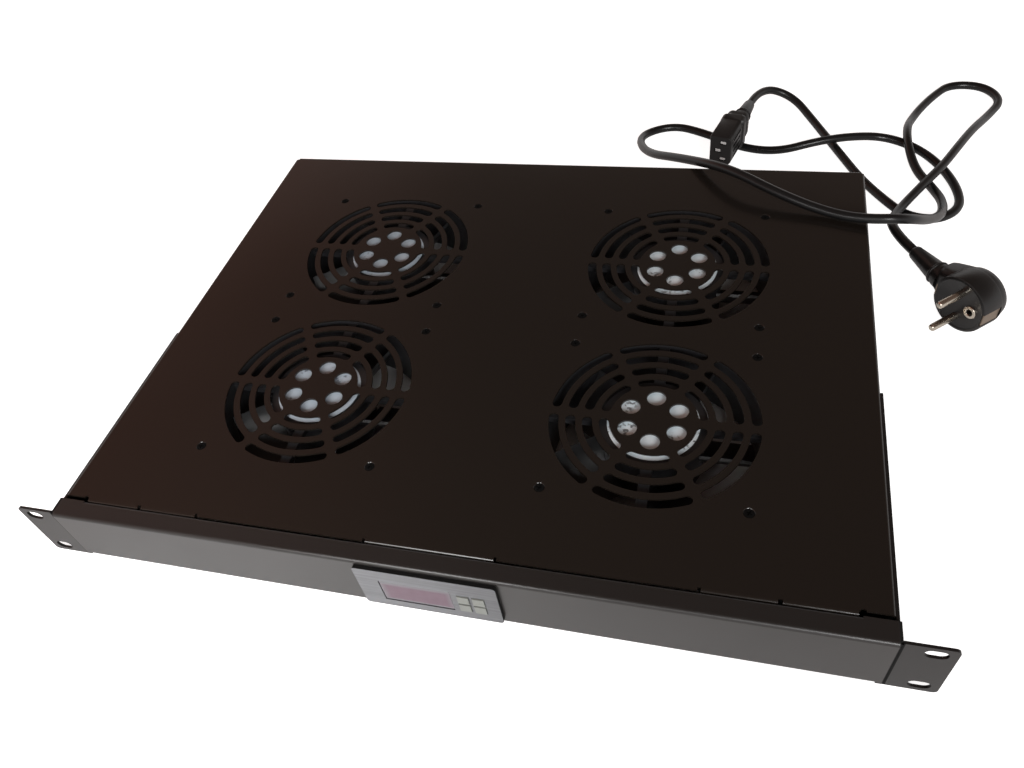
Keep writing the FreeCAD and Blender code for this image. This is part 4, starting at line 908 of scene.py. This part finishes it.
# Ground, room and lamps
GROUND_SEEN = 0.9
GROUND_MIRRORED = 0.26
ROOM_LEFT = (2.25, 1.05, 0.78, 1)
ROOM_ABOVE = (0.95, 0.68, 0.56, 1)
LAMPS = [
    ("key_lamp", (0.95, -1.7, 1.15), (0, 0.15, 0), 0.8, 36, 180),
    ("fill_lamp", (-0.45, -1.75, 1.0), (0, 0.15, 0), 0.42, 5.2, 180),
    ("floor_lamp", (-0.13, -0.3, 0.26), (-0.12, -0.09, GROUND), 0.2, 0.34, 80),
]


def set_stage():
    """A plain pale ground that gives off light, except under the tray."""
    bm = bmesh.new()
    bmesh.ops.create_grid(bm, x_segments=1, y_segments=1, size=6.0)
    mesh = bpy.data.meshes.new("ground")
    bm.to_mesh(mesh)
    bm.free()
    ground = bpy.data.objects.new("ground", mesh)
    ground.location = (0, 0, GROUND - 0.05 * MM)
    bpy.context.scene.collection.objects.link(ground)
    material = bpy.data.materials.new("pale_ground")
    material.use_nodes = True
    nodes = material.node_tree.nodes
    link = material.node_tree.links.new
    shader = nodes["Principled BSDF"]
    shader.inputs["Base Color"].default_value = (0.82, 0.82, 0.82, 1)
    shader.inputs["Roughness"].default_value = 0.9
    shader.inputs["Specular IOR Level"].default_value = 0.1
    shader.inputs["Emission Color"].default_value = (1, 1, 1, 1)
    place = nodes.new("ShaderNodeTexCoord")
    split = nodes.new("ShaderNodeSeparateXYZ")
    link(place.outputs["Object"], split.inputs["Vector"])
    across = span(nodes, link, split.outputs["X"], 0.0)
    deep = span(nodes, link, split.outputs["Y"], 0.17)
    outside = reckon(nodes, link, "MAXIMUM",
                     share_along(nodes, link, across, 0.205, 0.216, 0.0, 1.0),
                     share_along(nodes, link, deep, 0.165, 0.174, 0.0, 1.0))
    path = nodes.new("ShaderNodeLightPath")
    seen = reckon(nodes, link, "MULTIPLY", path.outputs["Is Camera Ray"], GROUND_SEEN)
    mirrored = reckon(nodes, link, "MULTIPLY", path.outputs["Is Glossy Ray"], GROUND_MIRRORED)
    both = reckon(nodes, link, "ADD", seen, mirrored)
    link(reckon(nodes, link, "MULTIPLY", both, outside), shader.inputs["Emission Strength"])
    mesh.materials.append(material)


def set_world():
    """Room light: bright near the horizon, dim and warm above, where the deck reflects it."""
    world = bpy.data.worlds.new("soft_room")
    bpy.context.scene.world = world
    world.use_nodes = True
    nodes = world.node_tree.nodes
    nodes.clear()
    link = world.node_tree.links.new
    place = nodes.new("ShaderNodeTexCoord")
    split = nodes.new("ShaderNodeSeparateXYZ")
    link(place.outputs["Generated"], split.inputs["Vector"])
    fade = share_along(nodes, link, split.outputs["Z"], 0.12, 0.62, 0.85, 0.14)
    fade.node.interpolation_type = "SMOOTHSTEP"
    room = nodes.new("ShaderNodeBackground")
    above = nodes.new("ShaderNodeMix")
    above.data_type = "RGBA"
    above.inputs["A"].default_value = ROOM_LEFT
    above.inputs["B"].default_value = ROOM_ABOVE
    link(share_along(nodes, link, split.outputs["X"], -0.64, -0.3, 0.0, 1.0),
         above.inputs["Factor"])
    warm = nodes.new("ShaderNodeMix")
    warm.data_type = "RGBA"
    warm.inputs["A"].default_value = (1, 1, 1, 1)
    link(share_along(nodes, link, split.outputs["Z"], 0.2, 0.55, 0.0, 1.0), warm.inputs["Factor"])
    link(above.outputs["Result"], warm.inputs["B"])
    link(warm.outputs["Result"], room.inputs["Color"])
    link(fade, room.inputs["Strength"])
    white = nodes.new("ShaderNodeBackground")
    white.inputs["Color"].default_value = (1, 1, 1, 1)
    path = nodes.new("ShaderNodeLightPath")
    choose = nodes.new("ShaderNodeMixShader")
    link(path.outputs["Is Camera Ray"], choose.inputs["Fac"])
    link(room.outputs["Background"], choose.inputs[1])
    link(white.outputs["Background"], choose.inputs[2])
    out = nodes.new("ShaderNodeOutputWorld")
    link(choose.outputs["Shader"], out.inputs["Surface"])


def add_lamp(name, place, aim, size, power, spread):
    """A soft round lamp at a place, turned to what it lights."""
    lamp = bpy.data.lights.new(name, "AREA")
    lamp.shape = "DISK"
    lamp.size = size
    lamp.energy = power
    lamp.spread = math.radians(spread)
    thing = bpy.data.objects.new(name, lamp)
    thing.location = place
    way = Vector(aim) - Vector(place)
    thing.rotation_euler = way.to_track_quat("-Z", "Y").to_euler()
    bpy.context.scene.collection.objects.link(thing)


set_stage()
set_world()
for lamp_values in LAMPS:
    add_lamp(*lamp_values)
bpy.context.scene.view_settings.view_transform = "Standard"
